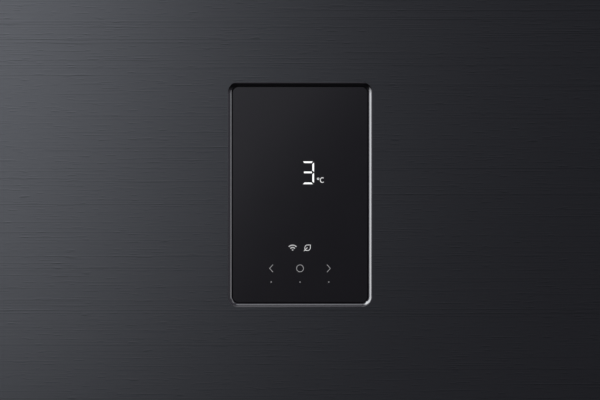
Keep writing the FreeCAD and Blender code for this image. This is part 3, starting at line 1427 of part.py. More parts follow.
def cabinet_nodes():
    right_panel = side_panel()
    nodes = {
        "side_panel_right": right_panel.cut(hinge_screw_holes(SEAT_FIT)),
        "side_panel_left": mirrored(right_panel),
        "top_panel": top_panel(),
        "back_panel": back_panel(),
        "cabinet_foam": cabinet_foam(),
        "cabinet_liner": cabinet_liner(),
        "base_pan": base_pan(),
        "machine_bulkhead": machine_bulkhead(),
        "kick_plate": kick_plate(),
        "top_hinge": top_hinge(),
        "top_hinge_cover": top_hinge_cover(),
        "bottom_hinge": bottom_hinge(),
        "fasteners": fasteners(),
        "lamp_housing": lamp_housing(),
        "lamp_lens": lamp_lens(),
        "crisper_cover_glass": shelf_glass(crisper_cover_z),
        "crisper_cover_frame": Part.makeCompound(shelf_trims(crisper_cover_z)),
    }
    trims = []
    for index, level in enumerate(shelf_levels()):
        nodes[f"shelf_glass_{index + 1}"] = shelf_glass(level)
        trims += shelf_trims(level)
    nodes["shelf_trims"] = Part.makeCompound(trims)
    return nodes


def machine_nodes():
    return {
        "compressor": compressor(),
        "compressor_grommets": compressor_grommets(),
        "relay_cover": relay_cover(),
        "evaporation_tray": evaporation_tray(),
        "drain_tube": drain_tube(),
        "condenser": condenser(),
        "refrigerant_pipes": refrigerant_pipes(),
        "condenser_fan_motor": condenser_fan_motor(),
        "control_box": control_box(),
        "power_inlet": power_inlet(),
        "machine_cover": machine_cover(),
        "evaporator": evaporator(),
        "evaporator_fan_motor": evaporator_fan_motor(),
        "duct_cover": duct_cover(),
    }


def moving_nodes():
    right_foot = foot()
    right_roller = roller()
    return {
        "foot_right": right_foot,
        "foot_left": mirrored(right_foot),
        "roller_right": right_roller,
        "roller_left": mirrored(right_roller),
        "condenser_fan": condenser_fan(),
        "evaporator_fan": evaporator_fan(),
        "crisper_drawer_lower": drawer(lower_drawer_z, lower_drawer_top_z, hump_y - DRAWER_BACK_GAP),
        "crisper_drawer_upper": drawer(upper_drawer_z, upper_drawer_top_z, shelf_back_y - DRAWER_BACK_GAP),
    }


def door_nodes():
    shut = {
        "door_skin": door_skin(),
        "door_foam": door_foam(),
        "door_liner": door_liner(),
        "door_top_cap": door_cap(door_top_z, 1),
        "door_bottom_cap": door_cap(door_bottom_z, -1),
        "hinge_bushes": hinge_bushes(),
        "door_handle": door_handle(),
        "door_gasket": door_gasket(),
        "display_bezel": display_bezel(),
        "display_glass": display_glass(),
        "display_housing": display_housing(),
        "display_board": display_board(),
    }
    for index, (bottom, height) in enumerate(bin_levels()):
        shut[f"door_bin_{index + 1}"] = door_bin(bottom, height)
    return {name: swung_open(shape) for name, shape in shut.items()}


def main():
    os.makedirs("parts", exist_ok=True)
    nodes = {**cabinet_nodes(), **machine_nodes(), **moving_nodes(), **door_nodes()}
    for name, shape in nodes.items():
        shape.exportStep(f"parts/{name}.step")
        print(name, len(shape.Solids), shape.isValid(), round(shape.Volume / 1000, 1))
    print(len(nodes), "nodes")


main()
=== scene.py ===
import json
import math

import bmesh
import bpy
from mathutils import Matrix, Quaternion, Vector


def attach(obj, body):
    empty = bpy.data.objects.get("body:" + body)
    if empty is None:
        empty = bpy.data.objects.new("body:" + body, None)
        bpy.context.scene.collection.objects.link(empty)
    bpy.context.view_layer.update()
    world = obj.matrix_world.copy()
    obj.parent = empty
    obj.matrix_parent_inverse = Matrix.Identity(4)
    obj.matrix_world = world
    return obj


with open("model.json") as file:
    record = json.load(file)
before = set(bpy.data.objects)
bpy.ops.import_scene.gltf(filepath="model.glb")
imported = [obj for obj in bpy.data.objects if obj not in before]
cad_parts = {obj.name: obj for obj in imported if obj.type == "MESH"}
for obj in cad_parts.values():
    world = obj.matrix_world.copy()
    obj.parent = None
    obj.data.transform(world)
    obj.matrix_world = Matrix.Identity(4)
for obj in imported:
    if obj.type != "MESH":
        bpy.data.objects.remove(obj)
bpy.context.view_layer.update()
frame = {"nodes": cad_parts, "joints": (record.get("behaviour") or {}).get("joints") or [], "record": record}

# Units: everything is in metres, in the frame of the part. MM turns millimetres into metres.
MM = 0.001

# The picture: how much of the door it shows, and where the display sits in it
PICTURE_WIDTH = 312.6 * MM
PICTURE_DROP = 2.84 * MM
LENS_LENGTH = 85.0
SENSOR_WIDTH = 36.0
CLIP_START = 10 * MM

# Lit marks on the display, placed from the middle of the glass: across to the right, and up
MARK_HEIGHT = 0.06 * MM
MARK_SINK = 0.02 * MM
DIGIT_LEFT = 1.58 * MM
DIGIT_RIGHT = 7.32 * MM
DIGIT_BOTTOM = 5.41 * MM
DIGIT_MIDDLE = 11.56 * MM
DIGIT_TOP = 17.28 * MM
DIGIT_STROKE = 0.87 * MM
DIGIT_BEVEL = 0.7 * MM
DIGIT_NOTCH = 0.66 * MM
DIGIT_PARTING = 0.26 * MM
DIGIT_TIP_GAP = 0.14 * MM
DEGREE_AT = (9.43 * MM, 8.2 * MM)
DEGREE_RADIUS = 0.43 * MM
DEGREE_STROKE = 0.288 * MM
UNIT_AT = (11.62 * MM, 7.52 * MM)
UNIT_HALF_WIDTH = 1.05 * MM
UNIT_HALF_HEIGHT = 1.22 * MM
UNIT_OPENING = 50
UNIT_STROKE = 0.36 * MM
WAVES_AT = (-3.86 * MM, -29.36 * MM)
WAVES_RADII = (0.5 * MM, 1.75 * MM, 2.95 * MM)
WAVES_SPREAD = 43
WAVES_STROKE = 0.58 * MM
LEAF_AT = (3.96 * MM, -27.7 * MM)
LEAF_HALF = 1.43 * MM
LEAF_ROUND = 1.42 * MM
LEAF_HEEL = 0.8 * MM
LEAF_STROKE = 0.28 * MM
LEAF_STEM = (-1.95 * MM, -1.8 * MM)
LEAF_VEIN = (-0.1 * MM, 0.12 * MM)
KEY_PITCH = 15.0 * MM
KEY_DROP = 38.45 * MM
KEY_STROKE = 0.22 * MM
CHEVRON_TIP = 15.8 * MM
CHEVRON_DEPTH = 1.75 * MM
CHEVRON_RISE = 1.95 * MM
RING_RADIUS = 1.81 * MM
DOT_DROP = 45.56 * MM
DOT_RADIUS = 0.28 * MM
ROUND_STEPS = 24
MITRE_LIMIT = 0.4

# How bright each mark glows, where 1 is white
DIGIT_GLOW = 0.95
UNIT_GLOW = 0.62
WAVES_GLOW = 0.215
LEAF_GLOW = 0.54
KEY_GLOW = 0.15
DOT_GLOW = 0.085

# Painted shade on the rim: black on the upper lip under its light top edge, by height below the top of the
# rim, and a painted shadow in black on the wall beside the glass, by depth behind the door's face
RIM_LIP_PAINTED_SHADE_START = 6.0 * MM
RIM_LIP_PAINTED_SHADE_FULL = 2.6 * MM
RIM_LIP_PAINTED_SHADE_END = 0.75 * MM
RIM_LIGHT_EDGE = 0.4 * MM
RIM_WALL_PAINTED_SHADOW_START = 0.62 * MM
RIM_WALL_PAINTED_SHADOW_FULL = 0.75 * MM

# Steel of the door and its brush marks: an even grain, and scratches that are dark with a light upper side
DOOR_COLOUR = (0.089, 0.0942, 0.1048)
DOOR_ANISOTROPY = 0.196
GRAIN_LENGTH = 4 * MM
GRAIN_PITCH = 0.38 * MM
SCRATCH_PITCH = 0.5 * MM
SCRATCH_RANGE = 0.1
SCRATCHES = (
    # length along the door, tone of the dark and of the light side, noise at which they start
    (8 * MM, 0.74, 1.2, 0.68),
    (40 * MM, 0.76, 1.2, 0.69),
    (260 * MM, 0.78, 1.12, 0.67),
)

# Studio: surroundings, floor, lamps round the door's face and soft suns
WORLD_COLOUR = (0.212, 0.203, 0.235)
FLOOR_COLOUR = (0.343, 0.333, 0.357)
FLOOR_ROUGHNESS = 0.8
FLOOR_GLOSS = 0.05
FLOOR_SIZE = 160.0
FLOOR_GAP = 0.5 * MM
DOOR_LAMPS = (
    # name, degrees left (below zero: right) and up of the door's face, turn, distance, size, radiance
    ("key", 30.6, 17.4, 0.0, 1.6, (1.09, 1.6), 3.2),
    ("panel", 16.3, 13.3, -39.0, 2.4, (1.6, 1.05), 0.42),
    ("corner", 31.0, 33.0, 0.0, 2.4, (0.45, 0.45), 7.0),
    ("edge", -59.0, 0.0, 0.0, 3.0, (0.7, 1.0), 1.6),
    ("bend", -42.0, 34.0, 0.0, 3.0, (0.9, 0.9), 0.9),
)
SOFT_SUNS = (
    # name, degrees round from the front towards the right, degrees up, width in degrees, strength
    ("front", -15, 16, 50, 1.6),
    ("left", -90, 16, 50, 0.9),
    ("back", 215, 20, 50, 1.2),
    ("high", 125, 43, 18, 0.075),
)


def joint(name):
    """The joint of that name in the frame."""
    return next(row for row in frame["joints"] if row["name"] == name)


def door_swing():
    """Turns a place on the shut door into its place on the open door, as the part is stored."""
    hinge = joint("door_hinge")
    pin = Vector(hinge["pos_m"])
    angle = math.radians(-hinge["range_deg"][0])
    turn = Matrix.Rotation(angle, 4, Vector(hinge["axis"]))
    return Matrix.Translation(pin) @ turn @ Matrix.Translation(-pin)


SHUT_TO_OPEN = door_swing()
OPEN_TO_SHUT = SHUT_TO_OPEN.inverted()
DOOR_ANGLE = SHUT_TO_OPEN.to_euler().z


def shut_box(node):
    """Lowest and highest corner of a node on the door, measured with the door shut."""
    points = [OPEN_TO_SHUT @ v.co for v in frame["nodes"][node].data.vertices]
    low = Vector(map(min, zip(*points)))
    high = Vector(map(max, zip(*points)))
    return low, high


GLASS_LOW, GLASS_HIGH = shut_box("display_glass")
GLASS_MIDDLE = (GLASS_LOW + GLASS_HIGH) / 2
GLASS_FRONT = GLASS_LOW.y


class Look:
    """One procedural material: a Principled shader and the nodes that feed it."""

    def __init__(self, name, **settings):
        self.material = bpy.data.materials.new(name)
        self.material.use_nodes = True
        self.tree = self.material.node_tree
        self.shader = self.tree.nodes["Principled BSDF"]
        for key, value in settings.items():
            socket = self.shader.inputs[key.replace("_", " ").title().replace("Ior", "IOR")]
            socket.default_value = (*value, 1.0) if isinstance(value, tuple) else value

    def node(self, kind, **settings):
        """A new node, with its own settings."""
        made = self.tree.nodes.new(kind)
        for key, value in settings.items():
            setattr(made, key, value)
        return made

    def link(self, output, node, socket):
        """Joins an output to a socket of a node."""
        self.tree.links.new(output, node.inputs[socket])

    def feed(self, output, socket):
        """Joins an output to a socket of the shader."""
        self.link(output, self.shader, socket)

    def place(self, cell=(1.0, 1.0, 1.0), turn=0.0, rise=0.0):
        """Where a point is on the object, in cells that may be long one way, turned about Z and raised."""
        coords = self.node("ShaderNodeTexCoord")
        mapping = self.node("ShaderNodeMapping", vector_type="TEXTURE")
        mapping.inputs["Location"].default_value = (0.0, 0.0, rise)
        mapping.inputs["Rotation"].default_value = (0.0, 0.0, turn)
        mapping.inputs["Scale"].default_value = cell
        self.link(coords.outputs["Object"], mapping, "Vector")
        return mapping.outputs["Vector"]

    def noise(self, cell, detail=2.0, roughness=0.5, turn=0.0, rise=0.0):
        """Cloudy noise between 0 and 1, whose grains are about one cell large."""
        cell = cell if isinstance(cell, tuple) else (cell, cell, cell)
        made = self.node("ShaderNodeTexNoise")
        made.inputs["Scale"].default_value = 1.0
        made.inputs["Detail"].default_value = detail
        made.inputs["Roughness"].default_value = roughness
        self.link(self.place(cell, turn, rise), made, "Vector")
        return made.outputs["Fac"]

    def cells(self, cell, output="Color"):
        """Crystal-like cells about one cell large: their own colour, or the distance to their middle."""
        made = self.node("ShaderNodeTexVoronoi")
        made.inputs["Scale"].default_value = 1.0
        self.link(self.place((cell, cell, cell)), made, "Vector")
        return made.outputs[output]

    def spread(self, output, low, high, start=0.25, end=0.75):
        """Stretches a noise from start..end to low..high."""
        made = self.node("ShaderNodeMapRange")
        for socket, value in zip(("From Min", "From Max", "To Min", "To Max"), (start, end, low, high)):
            made.inputs[socket].default_value = value
        self.link(output, made, "Value")
        return made.outputs["Result"]

    def tones(self, output, *stops):
        """Turns a noise into colours: each stop is a position and a colour."""
        made = self.node("ShaderNodeValToRGB")
        ramp = made.color_ramp
        while len(ramp.elements) < len(stops):
            ramp.elements.new(0.5)
        for element, (position, colour) in zip(ramp.elements, stops):
            element.position = position
            element.color = (*colour, 1.0)
        self.link(output, made, "Fac")
        return made.outputs["Color"]

    def times(self, first, second):
        """The product of two noises."""
        made = self.node("ShaderNodeMath", operation="MULTIPLY")
        self.tree.links.new(first, made.inputs[0])
        self.tree.links.new(second, made.inputs[1])
        return made.outputs["Value"]

    def bump(self, output, depth, strength=1.0):
        """Raises and sinks the surface with a noise, by that depth in metres."""
        made = self.node("ShaderNodeBump")
        made.inputs["Strength"].default_value = strength
        made.inputs["Distance"].default_value = depth
        self.link(output, made, "Height")
        self.feed(made.outputs["Normal"], "Normal")


def shades(colour, low, high):
    """The two ends of a colour's variation, as stops for a tone ramp."""
    return (0.3, tuple(low * c for c in colour)), (0.7, tuple(high * c for c in colour))


def moulded(name, colour, rough, grain=0.5 * MM, depth=0.01 * MM, drift=60 * MM, vary=0.05, **settings):
    """Moulded plastic or rubber: a fine tool grain, and a colour and gloss that drift a little."""
    look = Look(name, **settings)
    cloud = look.noise(drift, detail=3.0)
    look.feed(look.tones(cloud, *shades(colour, 1 - vary, 1 + vary)), "Base Color")
    look.feed(look.spread(look.noise(drift / 7), rough * 0.9, rough * 1.12), "Roughness")
    look.bump(look.noise(grain, detail=2.0), depth)
    return look.material


def door_steel():
    """Dark stainless steel, brushed along the door."""
    look = Look("door_steel", metallic=1.0, anisotropic=DOOR_ANISOTROPY)
    grain = look.noise((GRAIN_LENGTH, GRAIN_LENGTH, GRAIN_PITCH), 1.0, 0.5, DOOR_ANGLE)
    cloud = look.noise(180 * MM, 2.0)
    marks = look.spread(grain, 0.484, 0.516)
    for length, dark, light, start in SCRATCHES:
        for shade, rise in ((dark, 0.0), (light, SCRATCH_PITCH)):
            scratch = look.noise((length, length, SCRATCH_PITCH), 0.0, 0.5, DOOR_ANGLE, rise)
            marks = look.times(marks, look.spread(scratch, 1.0, shade, start, start + SCRATCH_RANGE))
    tone = look.times(marks, look.spread(cloud, 0.97, 1.03))
    look.feed(look.tones(tone, (0.0, (0.0, 0.0, 0.0)), (1.0, DOOR_COLOUR)), "Base Color")
    look.feed(look.spread(cloud, 0.355, 0.363), "Roughness")
    look.bump(marks, 0.004 * MM)
    upright = look.node("ShaderNodeCombineXYZ")
    upright.inputs["Z"].default_value = 1.0
    look.feed(upright.outputs["Vector"], "Tangent")
    return look.material


def rim_steel():
    """Polished dark rim of the display, with painted shade in black on its upper lip and a painted shadow in
    black on its wall beside the glass.
    """
    look = Look("rim_steel", metallic=1.0)
    top = shut_box("display_bezel")[1].z
    place = look.node("ShaderNodeSeparateXYZ")
    look.link(look.place(turn=DOOR_ANGLE), place, "Vector")
    # Painted shade: the upper lip under its light top edge turns black by height, in place of its shade.
    below = look.spread(place.outputs["Z"], 1.0, 0.0, top - RIM_LIP_PAINTED_SHADE_START, top)
    drops = (RIM_LIGHT_EDGE, RIM_LIP_PAINTED_SHADE_END, RIM_LIP_PAINTED_SHADE_FULL, RIM_LIP_PAINTED_SHADE_START)
    white, black = (1.0, 1.0, 1.0), (0.0, 0.0, 0.0)
    lip = look.tones(below, *zip((drop / RIM_LIP_PAINTED_SHADE_START for drop in drops), (white, black, black, white)))
    # Painted shadow: the wall beside the glass turns black by depth behind the door's face, in place of the
    # shadow in the gap.
    face = (Matrix.Rotation(-DOOR_ANGLE, 3, "Z") @ (SHUT_TO_OPEN @ shut_box("display_bezel")[0])).y
    wall = look.spread(place.outputs["Y"], 1.0, 0.0, face + RIM_WALL_PAINTED_SHADOW_START, face + RIM_WALL_PAINTED_SHADOW_FULL)
    # The steel's tone, times the painted shade of the lip and the painted shadow of the wall.
    steel = look.tones(look.times(lip, wall), (0.0, (0.012, 0.012, 0.013)), (1.0, (0.155, 0.157, 0.163)))
    look.feed(steel, "Base Color")
    look.feed(look.spread(look.noise(1.5 * MM), 0.09, 0.13), "Roughness")
    look.bump(look.noise(0.6 * MM), 0.001 * MM)
    return look.material


def cabinet_paint():
    """Dark grey paint with a light orange peel, on sheet steel."""
    look = Look("cabinet_paint")
    look.feed(look.tones(look.noise(220 * MM, 3.0), *shades((0.034, 0.035, 0.039), 0.97, 1.03)), "Base Color")
    look.feed(look.spread(look.noise(9 * MM), 0.7, 0.75), "Roughness")
    look.bump(look.noise(1.6 * MM, 1.0), 0.008 * MM)
    return look.material


def zinc_steel():
    """Zinc-plated sheet with its crystal spangle."""
    look = Look("zinc_steel", metallic=1.0)
    spangle = look.spread(look.cells(9 * MM), 0.0, 1.0, 0.0, 1.0)
    zinc = (0.5, 0.51, 0.53)
    look.feed(look.tones(spangle, (0.0, tuple(0.93 * c for c in zinc)), (1.0, zinc)), "Base Color")
    look.feed(look.spread(look.noise(12 * MM, 3.0), 0.43, 0.47), "Roughness")
    look.bump(look.noise(0.8 * MM), 0.004 * MM)
    return look.material


def black_paint():
    """Black enamel on the compressor and the condenser."""
    look = Look("black_paint", coat_weight=0.4, coat_roughness=0.15)
    look.feed(look.tones(look.noise(40 * MM, 4.0), *shades((0.02, 0.02, 0.021), 0.75, 1.3)), "Base Color")
    look.feed(look.spread(look.noise(12 * MM), 0.3, 0.45), "Roughness")
    look.bump(look.noise(1.4 * MM), 0.03 * MM)
    return look.material


def copper():
    """Copper tube, darker where it has tarnished."""
    look = Look("copper", metallic=1.0)
    stain = look.noise(14 * MM, 5.0, 0.65)
    tones = ((0.3, (0.36, 0.17, 0.1)), (0.5, (0.68, 0.32, 0.19)), (0.75, (0.8, 0.42, 0.27)))
    look.feed(look.tones(stain, *tones), "Base Color")
    look.feed(look.spread(stain, 0.42, 0.22), "Roughness")
    look.bump(look.noise(1.0 * MM), 0.004 * MM)
    return look.material


def aluminium():
    """Bare rolled aluminium."""
    look = Look("aluminium", metallic=1.0)
    rolled = look.noise((40 * MM, 1.0 * MM, 1.0 * MM), 2.0)
    look.feed(look.tones(rolled, *shades((0.72, 0.73, 0.74), 0.88, 1.04)), "Base Color")
    look.feed(look.spread(rolled, 0.25, 0.4), "Roughness")
    look.bump(rolled, 0.004 * MM)
    return look.material


def foam():
    """Rigid foam: pale, dull and full of small cells."""
    look = Look("foam")
    look.feed(look.tones(look.noise(60 * MM, 4.0), *shades((0.8, 0.72, 0.5), 0.88, 1.08)), "Base Color")
    look.feed(look.spread(look.noise(20 * MM), 0.85, 0.95), "Roughness")
    look.bump(look.cells(1.5 * MM, "Distance"), 0.4 * MM)
    return look.material


def clear(name, colour, rough, ior, smear):
    """Clear glass or plastic that lets the lamps through, with faint smears."""
    look = Look(name, transmission_weight=1.0, ior=ior)
    look.feed(look.tones(look.noise(smear, 3.0), *shades(colour, 0.98, 1.0)), "Base Color")
    look.feed(look.spread(look.noise(smear / 3, 3.0), rough * 0.5, rough * 1.5), "Roughness")
    look.bump(look.noise(smear / 2), 0.01 * MM)
    output = look.tree.nodes["Material Output"]
    passing = look.node("ShaderNodeBsdfTransparent")
    passing.inputs["Color"].default_value = (*colour, 1.0)
    mixed = look.node("ShaderNodeMixShader")
    path = look.node("ShaderNodeLightPath")
    look.link(path.outputs["Is Shadow Ray"], mixed, "Fac")
    look.tree.links.new(look.shader.outputs["BSDF"], mixed.inputs[1])
    look.tree.links.new(passing.outputs["BSDF"], mixed.inputs[2])
    look.link(mixed.outputs["Shader"], output, "Surface")
    return look.material


def display_glass():
    """Black printed glass with a faint haze."""
    look = Look("display_glass", ior=1.52, specular_tint=(0.92, 0.92, 1.0))
    look.feed(look.tones(look.noise(30 * MM, 2.0), *shades((0.0004, 0.0004, 0.0006), 0.8, 1.2)), "Base Color")
    look.feed(look.spread(look.noise(12 * MM, 3.0), 0.16, 0.174), "Roughness")
    look.bump(look.noise(8 * MM), 0.0005 * MM)
    return look.material


def board():
    """Green circuit board with a weave of copper under the lacquer."""
    look = Look("board", coat_weight=0.3)
    greens = ((0.35, (0.02, 0.15, 0.06)), (0.6, (0.04, 0.24, 0.1)))
    look.feed(look.tones(look.cells(2.2 * MM), *greens), "Base Color")
    look.feed(look.spread(look.noise(5 * MM), 0.35, 0.5), "Roughness")
    look.bump(look.cells(1.1 * MM, "Distance"), 0.03 * MM)
    return look.material


def lit(name, colour, strength, cell):
    """A surface that glows by itself, a little unevenly."""
    look = Look(name, base_color=tuple(0.3 * c for c in colour), roughness=0.4)
    look.shader.inputs["Emission Strength"].default_value = strength
    look.feed(look.tones(look.noise(cell), *shades(colour, 0.93, 1.0)), "Emission Color")
    look.bump(look.noise(cell / 4), 0.004 * MM)
    return look.material


FINISHES = {
    "door_steel": door_steel(),
    "rim_steel": rim_steel(),
    "cabinet_paint": cabinet_paint(),
    "zinc_steel": zinc_steel(),
    "black_paint": black_paint(),
    "copper": copper(),
    "aluminium": aluminium(),
    "white_liner": moulded(
        "white_liner", (0.85, 0.86, 0.87), 0.42, grain=14 * MM, depth=0.002 * MM, drift=250 * MM, vary=0.01
    ),
    "white_plastic": moulded("white_plastic", (0.8, 0.81, 0.82), 0.42, vary=0.015),
    "dark_plastic": moulded("dark_plastic", (0.03, 0.03, 0.033), 0.58, depth=0.02 * MM),
    "foam": foam(),
    "shelf_glass": clear("shelf_glass", (0.93, 0.97, 0.96), 0.02, 1.5, 70 * MM),
    "shelf_trim": moulded("shelf_trim", (0.72, 0.73, 0.75), 0.3, metallic=0.4),
    "clear_plastic": clear("clear_plastic", (0.965, 0.975, 0.985), 0.06, 1.45, 50 * MM),
    "gasket": moulded("gasket", (0.11, 0.11, 0.115), 0.55),
    "rubber": moulded("rubber", (0.028, 0.028, 0.029), 0.65, depth=0.04 * MM),
    "display_glass": display_glass(),
    "board": board(),
    "lamp": lit("lamp", (1.0, 0.98, 0.95), 9.0, 20 * MM),
    "nylon": moulded("nylon", (0.72, 0.7, 0.62), 0.4),
}


def dress_nodes():
    """Gives every node the finish that the record names for it."""
    for row in frame["record"]["subparts"]:
        mesh = frame["nodes"][row["node"]].data
        mesh.materials.clear()
        mesh.materials.append(FINISHES[row["material_slot"]])


def arc(middle, across, up, start, end):
    """Points along an arc, from one angle in degrees to another; across and up are its half axes."""
    steps = max(2, round(ROUND_STEPS * abs(end - start) / 180))
    angles = [math.radians(start + (end - start) * i / steps) for i in range(steps + 1)]
    return [(middle[0] + across * math.cos(a), middle[1] + up * math.sin(a)) for a in angles]


def ring(middle, radius):
    """Points round a circle, without the repeat at its end."""
    return arc(middle, radius, radius, 0, 360)[:-1]


def on_glass(point, height):
    """Where a point of a mark is on the shut door: across, up, and how far out of the glass."""
    return Vector((GLASS_MIDDLE.x + point[0], GLASS_FRONT - height, GLASS_MIDDLE.z + point[1]))


def slab(bm, outline):
    """A flat plate on the glass with that outline, given anticlockwise as seen."""
    top = [bm.verts.new(on_glass(p, MARK_HEIGHT)) for p in outline]
    foot = [bm.verts.new(on_glass(p, -MARK_SINK)) for p in outline]
    bm.faces.new(top)
    bm.faces.new(reversed(foot))
    for i in range(len(outline)):
        bm.faces.new((top[i - 1], foot[i - 1], foot[i], top[i]))


def offsets(path, width, closed):
    """The two edges of a ribbon along a path, mitred at its corners."""
    points = [Vector(p) for p in path]
    left, right = [], []
    for i, point in enumerate(points):
        before = points[i - 1] if i or closed else None
        after = points[(i + 1) % len(points)] if i + 1 < len(points) or closed else None
        ways = [d.normalized() for d in (before and point - before, after and after - point) if d]
        way = sum(ways, Vector((0.0, 0.0))).normalized()
        side = Vector((-way.y, way.x)) * width / 2 / max(MITRE_LIMIT, way.dot(ways[0]))
        left.append(point + side)
        right.append(point - side)
    return left, right


def ribbon(bm, path, width, closed=False):
    """A flat band on the glass along a path."""
    left, right = offsets(path, width, closed)
    rows = [
        [bm.verts.new(on_glass(p, h)) for p, h in zip((a, b, b, a), (MARK_HEIGHT,) * 2 + (-MARK_SINK,) * 2)]
        for a, b in zip(left, right)
    ]
    for i in range(0 if closed else 1, len(rows)):
        for k in range(4):
            bm.faces.new((rows[i - 1][k - 1], rows[i - 1][k], rows[i][k], rows[i][k - 1]))
    if not closed:
        bm.faces.new(rows[0])
        bm.faces.new(reversed(rows[-1]))


def mark(name, strength, draw):
    """One lit mark on the display: draw fills a mesh on the shut door, which then swings open with it."""
    bm = bmesh.new()
    draw(bm)
    bmesh.ops.recalc_face_normals(bm, faces=bm.faces)
    bm.transform(SHUT_TO_OPEN)
    mesh = bpy.data.meshes.new(name)
    bm.to_mesh(mesh)
    bm.free()
    piece = bpy.data.objects.new(name, mesh)
    bpy.context.scene.collection.objects.link(piece)
    mesh.materials.append(lit(name, (1.0, 1.0, 1.0), strength, 2 * MM))
    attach(piece, "door")
    return piece


def draw_digit(bm):
    """The digit 3 in five bevelled segments."""
    middle = DIGIT_MIDDLE
    half = DIGIT_STROKE / 2
    for outer, inner in ((DIGIT_TOP, DIGIT_TOP - DIGIT_STROKE), (DIGIT_BOTTOM, DIGIT_BOTTOM + DIGIT_STROKE)):
        slab(bm, [
            (DIGIT_LEFT, outer),
            (DIGIT_RIGHT - DIGIT_NOTCH, outer),
            (DIGIT_RIGHT - DIGIT_NOTCH - DIGIT_BEVEL, inner),
            (DIGIT_LEFT + DIGIT_BEVEL, inner),
        ])
    tip_left = DIGIT_LEFT + DIGIT_BEVEL / 2
    tip_right = DIGIT_RIGHT - DIGIT_STROKE - DIGIT_TIP_GAP
    slab(bm, [
        (tip_left, middle),
        (tip_left + half / 2, middle - half),
        (tip_right - half / 2, middle - half),
        (tip_right, middle),
        (tip_right - half / 2, middle + half),
        (tip_left + half / 2, middle + half),
    ])
    for end, way in ((DIGIT_TOP, 1), (DIGIT_BOTTOM, -1)):
        slab(bm, [
            (DIGIT_RIGHT, middle + way * DIGIT_PARTING),
            (DIGIT_RIGHT, end - way * DIGIT_NOTCH),
            (DIGIT_RIGHT - DIGIT_STROKE, end - way * (DIGIT_NOTCH + DIGIT_BEVEL)),
            (DIGIT_RIGHT - DIGIT_STROKE, middle + way * (DIGIT_PARTING + DIGIT_BEVEL)),
        ])


def draw_unit(bm):
    """Degrees Celsius."""
    ribbon(bm, ring(DEGREE_AT, DEGREE_RADIUS), DEGREE_STROKE, closed=True)
    opening = (UNIT_AT, UNIT_HALF_WIDTH, UNIT_HALF_HEIGHT, UNIT_OPENING, 360 - UNIT_OPENING)
    ribbon(bm, arc(*opening), UNIT_STROKE)


def draw_waves(bm):
    """The common sign for a wireless link: arcs that spread upwards."""
    for radius in WAVES_RADII:
        ribbon(bm, arc(WAVES_AT, radius, radius, 90 - WAVES_SPREAD, 90 + WAVES_SPREAD), WAVES_STROKE)


def draw_leaf(bm):
    """A leaf with its vein."""
    x, z = LEAF_AT
    bend = LEAF_HALF - LEAF_ROUND
    heel = LEAF_HALF - LEAF_HEEL
    outline = arc((x - heel, z - heel), LEAF_HEEL, LEAF_HEEL, 180, 270)
    outline += arc((x + bend, z - bend), LEAF_ROUND, LEAF_ROUND, 270, 360)
    outline += [(x + LEAF_HALF, z + LEAF_HALF)]
    outline += arc((x - bend, z + bend), LEAF_ROUND, LEAF_ROUND, 90, 180)
    ribbon(bm, outline, LEAF_STROKE, closed=True)
    ribbon(bm, [(x + LEAF_STEM[0], z + LEAF_STEM[1]), (x + LEAF_VEIN[0], z + LEAF_VEIN[1])], LEAF_STROKE)


def draw_keys(bm):
    """The three touch keys: lower, mode and higher."""
    for side in (-1, 1):
        arm = side * (CHEVRON_TIP - CHEVRON_DEPTH)
        tip = (side * CHEVRON_TIP, -KEY_DROP)
        ribbon(bm, [(arm, CHEVRON_RISE - KEY_DROP), tip, (arm, -CHEVRON_RISE - KEY_DROP)], KEY_STROKE)
    ribbon(bm, ring((0.0, -KEY_DROP), RING_RADIUS), KEY_STROKE, closed=True)


def draw_dots(bm):
    """A dot under each key."""
    for side in (-1, 0, 1):
        slab(bm, ring((side * KEY_PITCH, -DOT_DROP), DOT_RADIUS))


def light_display():
    """All the lit marks, each at its own brightness."""
    mark("digit_mark", DIGIT_GLOW, draw_digit)
    mark("unit_mark", UNIT_GLOW, draw_unit)
    mark("wireless_mark", WAVES_GLOW, draw_waves)
    mark("leaf_mark", LEAF_GLOW, draw_leaf)
    mark("key_marks", KEY_GLOW, draw_keys)
    mark("key_dots", DOT_GLOW, draw_dots)


def lay_floor():
    """A large plain floor, dull and just under the feet."""
    bm = bmesh.new()
    bmesh.ops.create_grid(bm, x_segments=1, y_segments=1, size=FLOOR_SIZE / 2)
    mesh = bpy.data.meshes.new("studio_floor")
    bm.to_mesh(mesh)
    bm.free()
    floor = bpy.data.objects.new("studio_floor", mesh)
    floor.location.z = -FLOOR_GAP
    bpy.context.scene.collection.objects.link(floor)
    fine = {"grain": 3 * MM, "depth": 0.02 * MM, "drift": 900 * MM, "vary": 0.01}
    finish = moulded("studio_floor", FLOOR_COLOUR, FLOOR_ROUGHNESS, specular_ior_level=FLOOR_GLOSS, **fine)
    mesh.materials.append(finish)


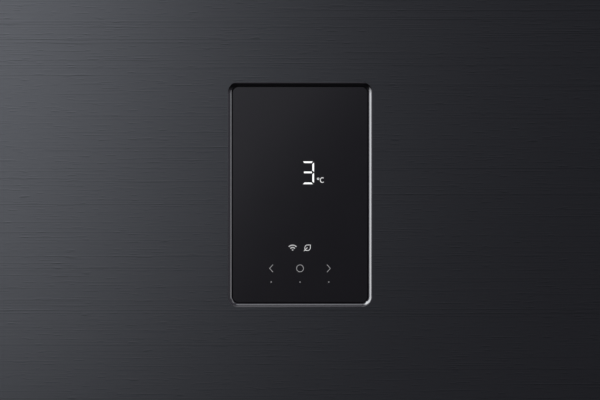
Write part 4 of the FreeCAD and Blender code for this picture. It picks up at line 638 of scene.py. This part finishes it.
def lamp(name, place, target, turn_deg, size, radiance):
    """A soft rectangular lamp of that radiance, which the camera doesn't see."""
    data = bpy.data.lights.new(name, "AREA")
    data.shape = "RECTANGLE"
    data.size, data.size_y = size
    data.energy = radiance * math.pi * size[0] * size[1]
    made = bpy.data.objects.new(name, data)
    made.location = place
    aim = (Vector(target) - Vector(place)).to_track_quat("-Z", "Y")
    made.rotation_euler = (aim @ Quaternion((0.0, 0.0, 1.0), math.radians(turn_deg))).to_euler()
    made.visible_camera = False
    bpy.context.scene.collection.objects.link(made)


def soft_sun(name, round_deg, up_deg, width_deg, strength):
    """Broad even light from far away, which reaches every part of the floor alike."""
    data = bpy.data.lights.new(name, "SUN")
    data.energy = strength
    data.angle = math.radians(width_deg)
    made = bpy.data.objects.new(name, data)
    made.rotation_euler = (math.radians(90 - up_deg), 0.0, math.radians(round_deg))
    bpy.context.scene.collection.objects.link(made)


def door_way(left_deg, up_deg):
    """The direction out of the open door that leans left and up from its face, as the picture sees it."""
    left, up = math.radians(left_deg), math.radians(up_deg)
    shut = Vector((-math.sin(left) * math.cos(up), -math.cos(left) * math.cos(up), math.sin(up)))
    return SHUT_TO_OPEN.to_3x3() @ shut


def light_studio():
    """Even grey surroundings, soft suns all round, and soft lamps before the open door."""
    world = bpy.data.worlds.new("studio")
    world.use_nodes = True
    world.node_tree.nodes["Background"].inputs["Color"].default_value = (*WORLD_COLOUR, 1.0)
    bpy.context.scene.world = world
    for row in SOFT_SUNS:
        soft_sun(*row)
    display = SHUT_TO_OPEN @ Vector((GLASS_MIDDLE.x, GLASS_FRONT, GLASS_MIDDLE.z))
    for name, left, up, turn, distance, size, radiance in DOOR_LAMPS:
        lamp(name, display + distance * door_way(left, up), display, turn, size, radiance)


def place_camera():
    """Square on to the open door, as near as the picture's width asks."""
    data = bpy.data.cameras.new("picture")
    data.lens = LENS_LENGTH
    data.sensor_width = SENSOR_WIDTH
    data.clip_start = CLIP_START
    camera = bpy.data.objects.new("picture", data)
    aim = SHUT_TO_OPEN @ Vector((GLASS_MIDDLE.x, GLASS_FRONT, GLASS_MIDDLE.z - PICTURE_DROP))
    out = door_way(0, 0)
    camera.location = aim + out * PICTURE_WIDTH * LENS_LENGTH / SENSOR_WIDTH
    camera.rotation_euler = (-out).to_track_quat("-Z", "Y").to_euler()
    bpy.context.scene.collection.objects.link(camera)
    bpy.context.scene.camera = camera


bpy.context.scene.view_settings.view_transform = "Standard"
dress_nodes()
light_display()
lay_floor()
light_studio()
place_camera()
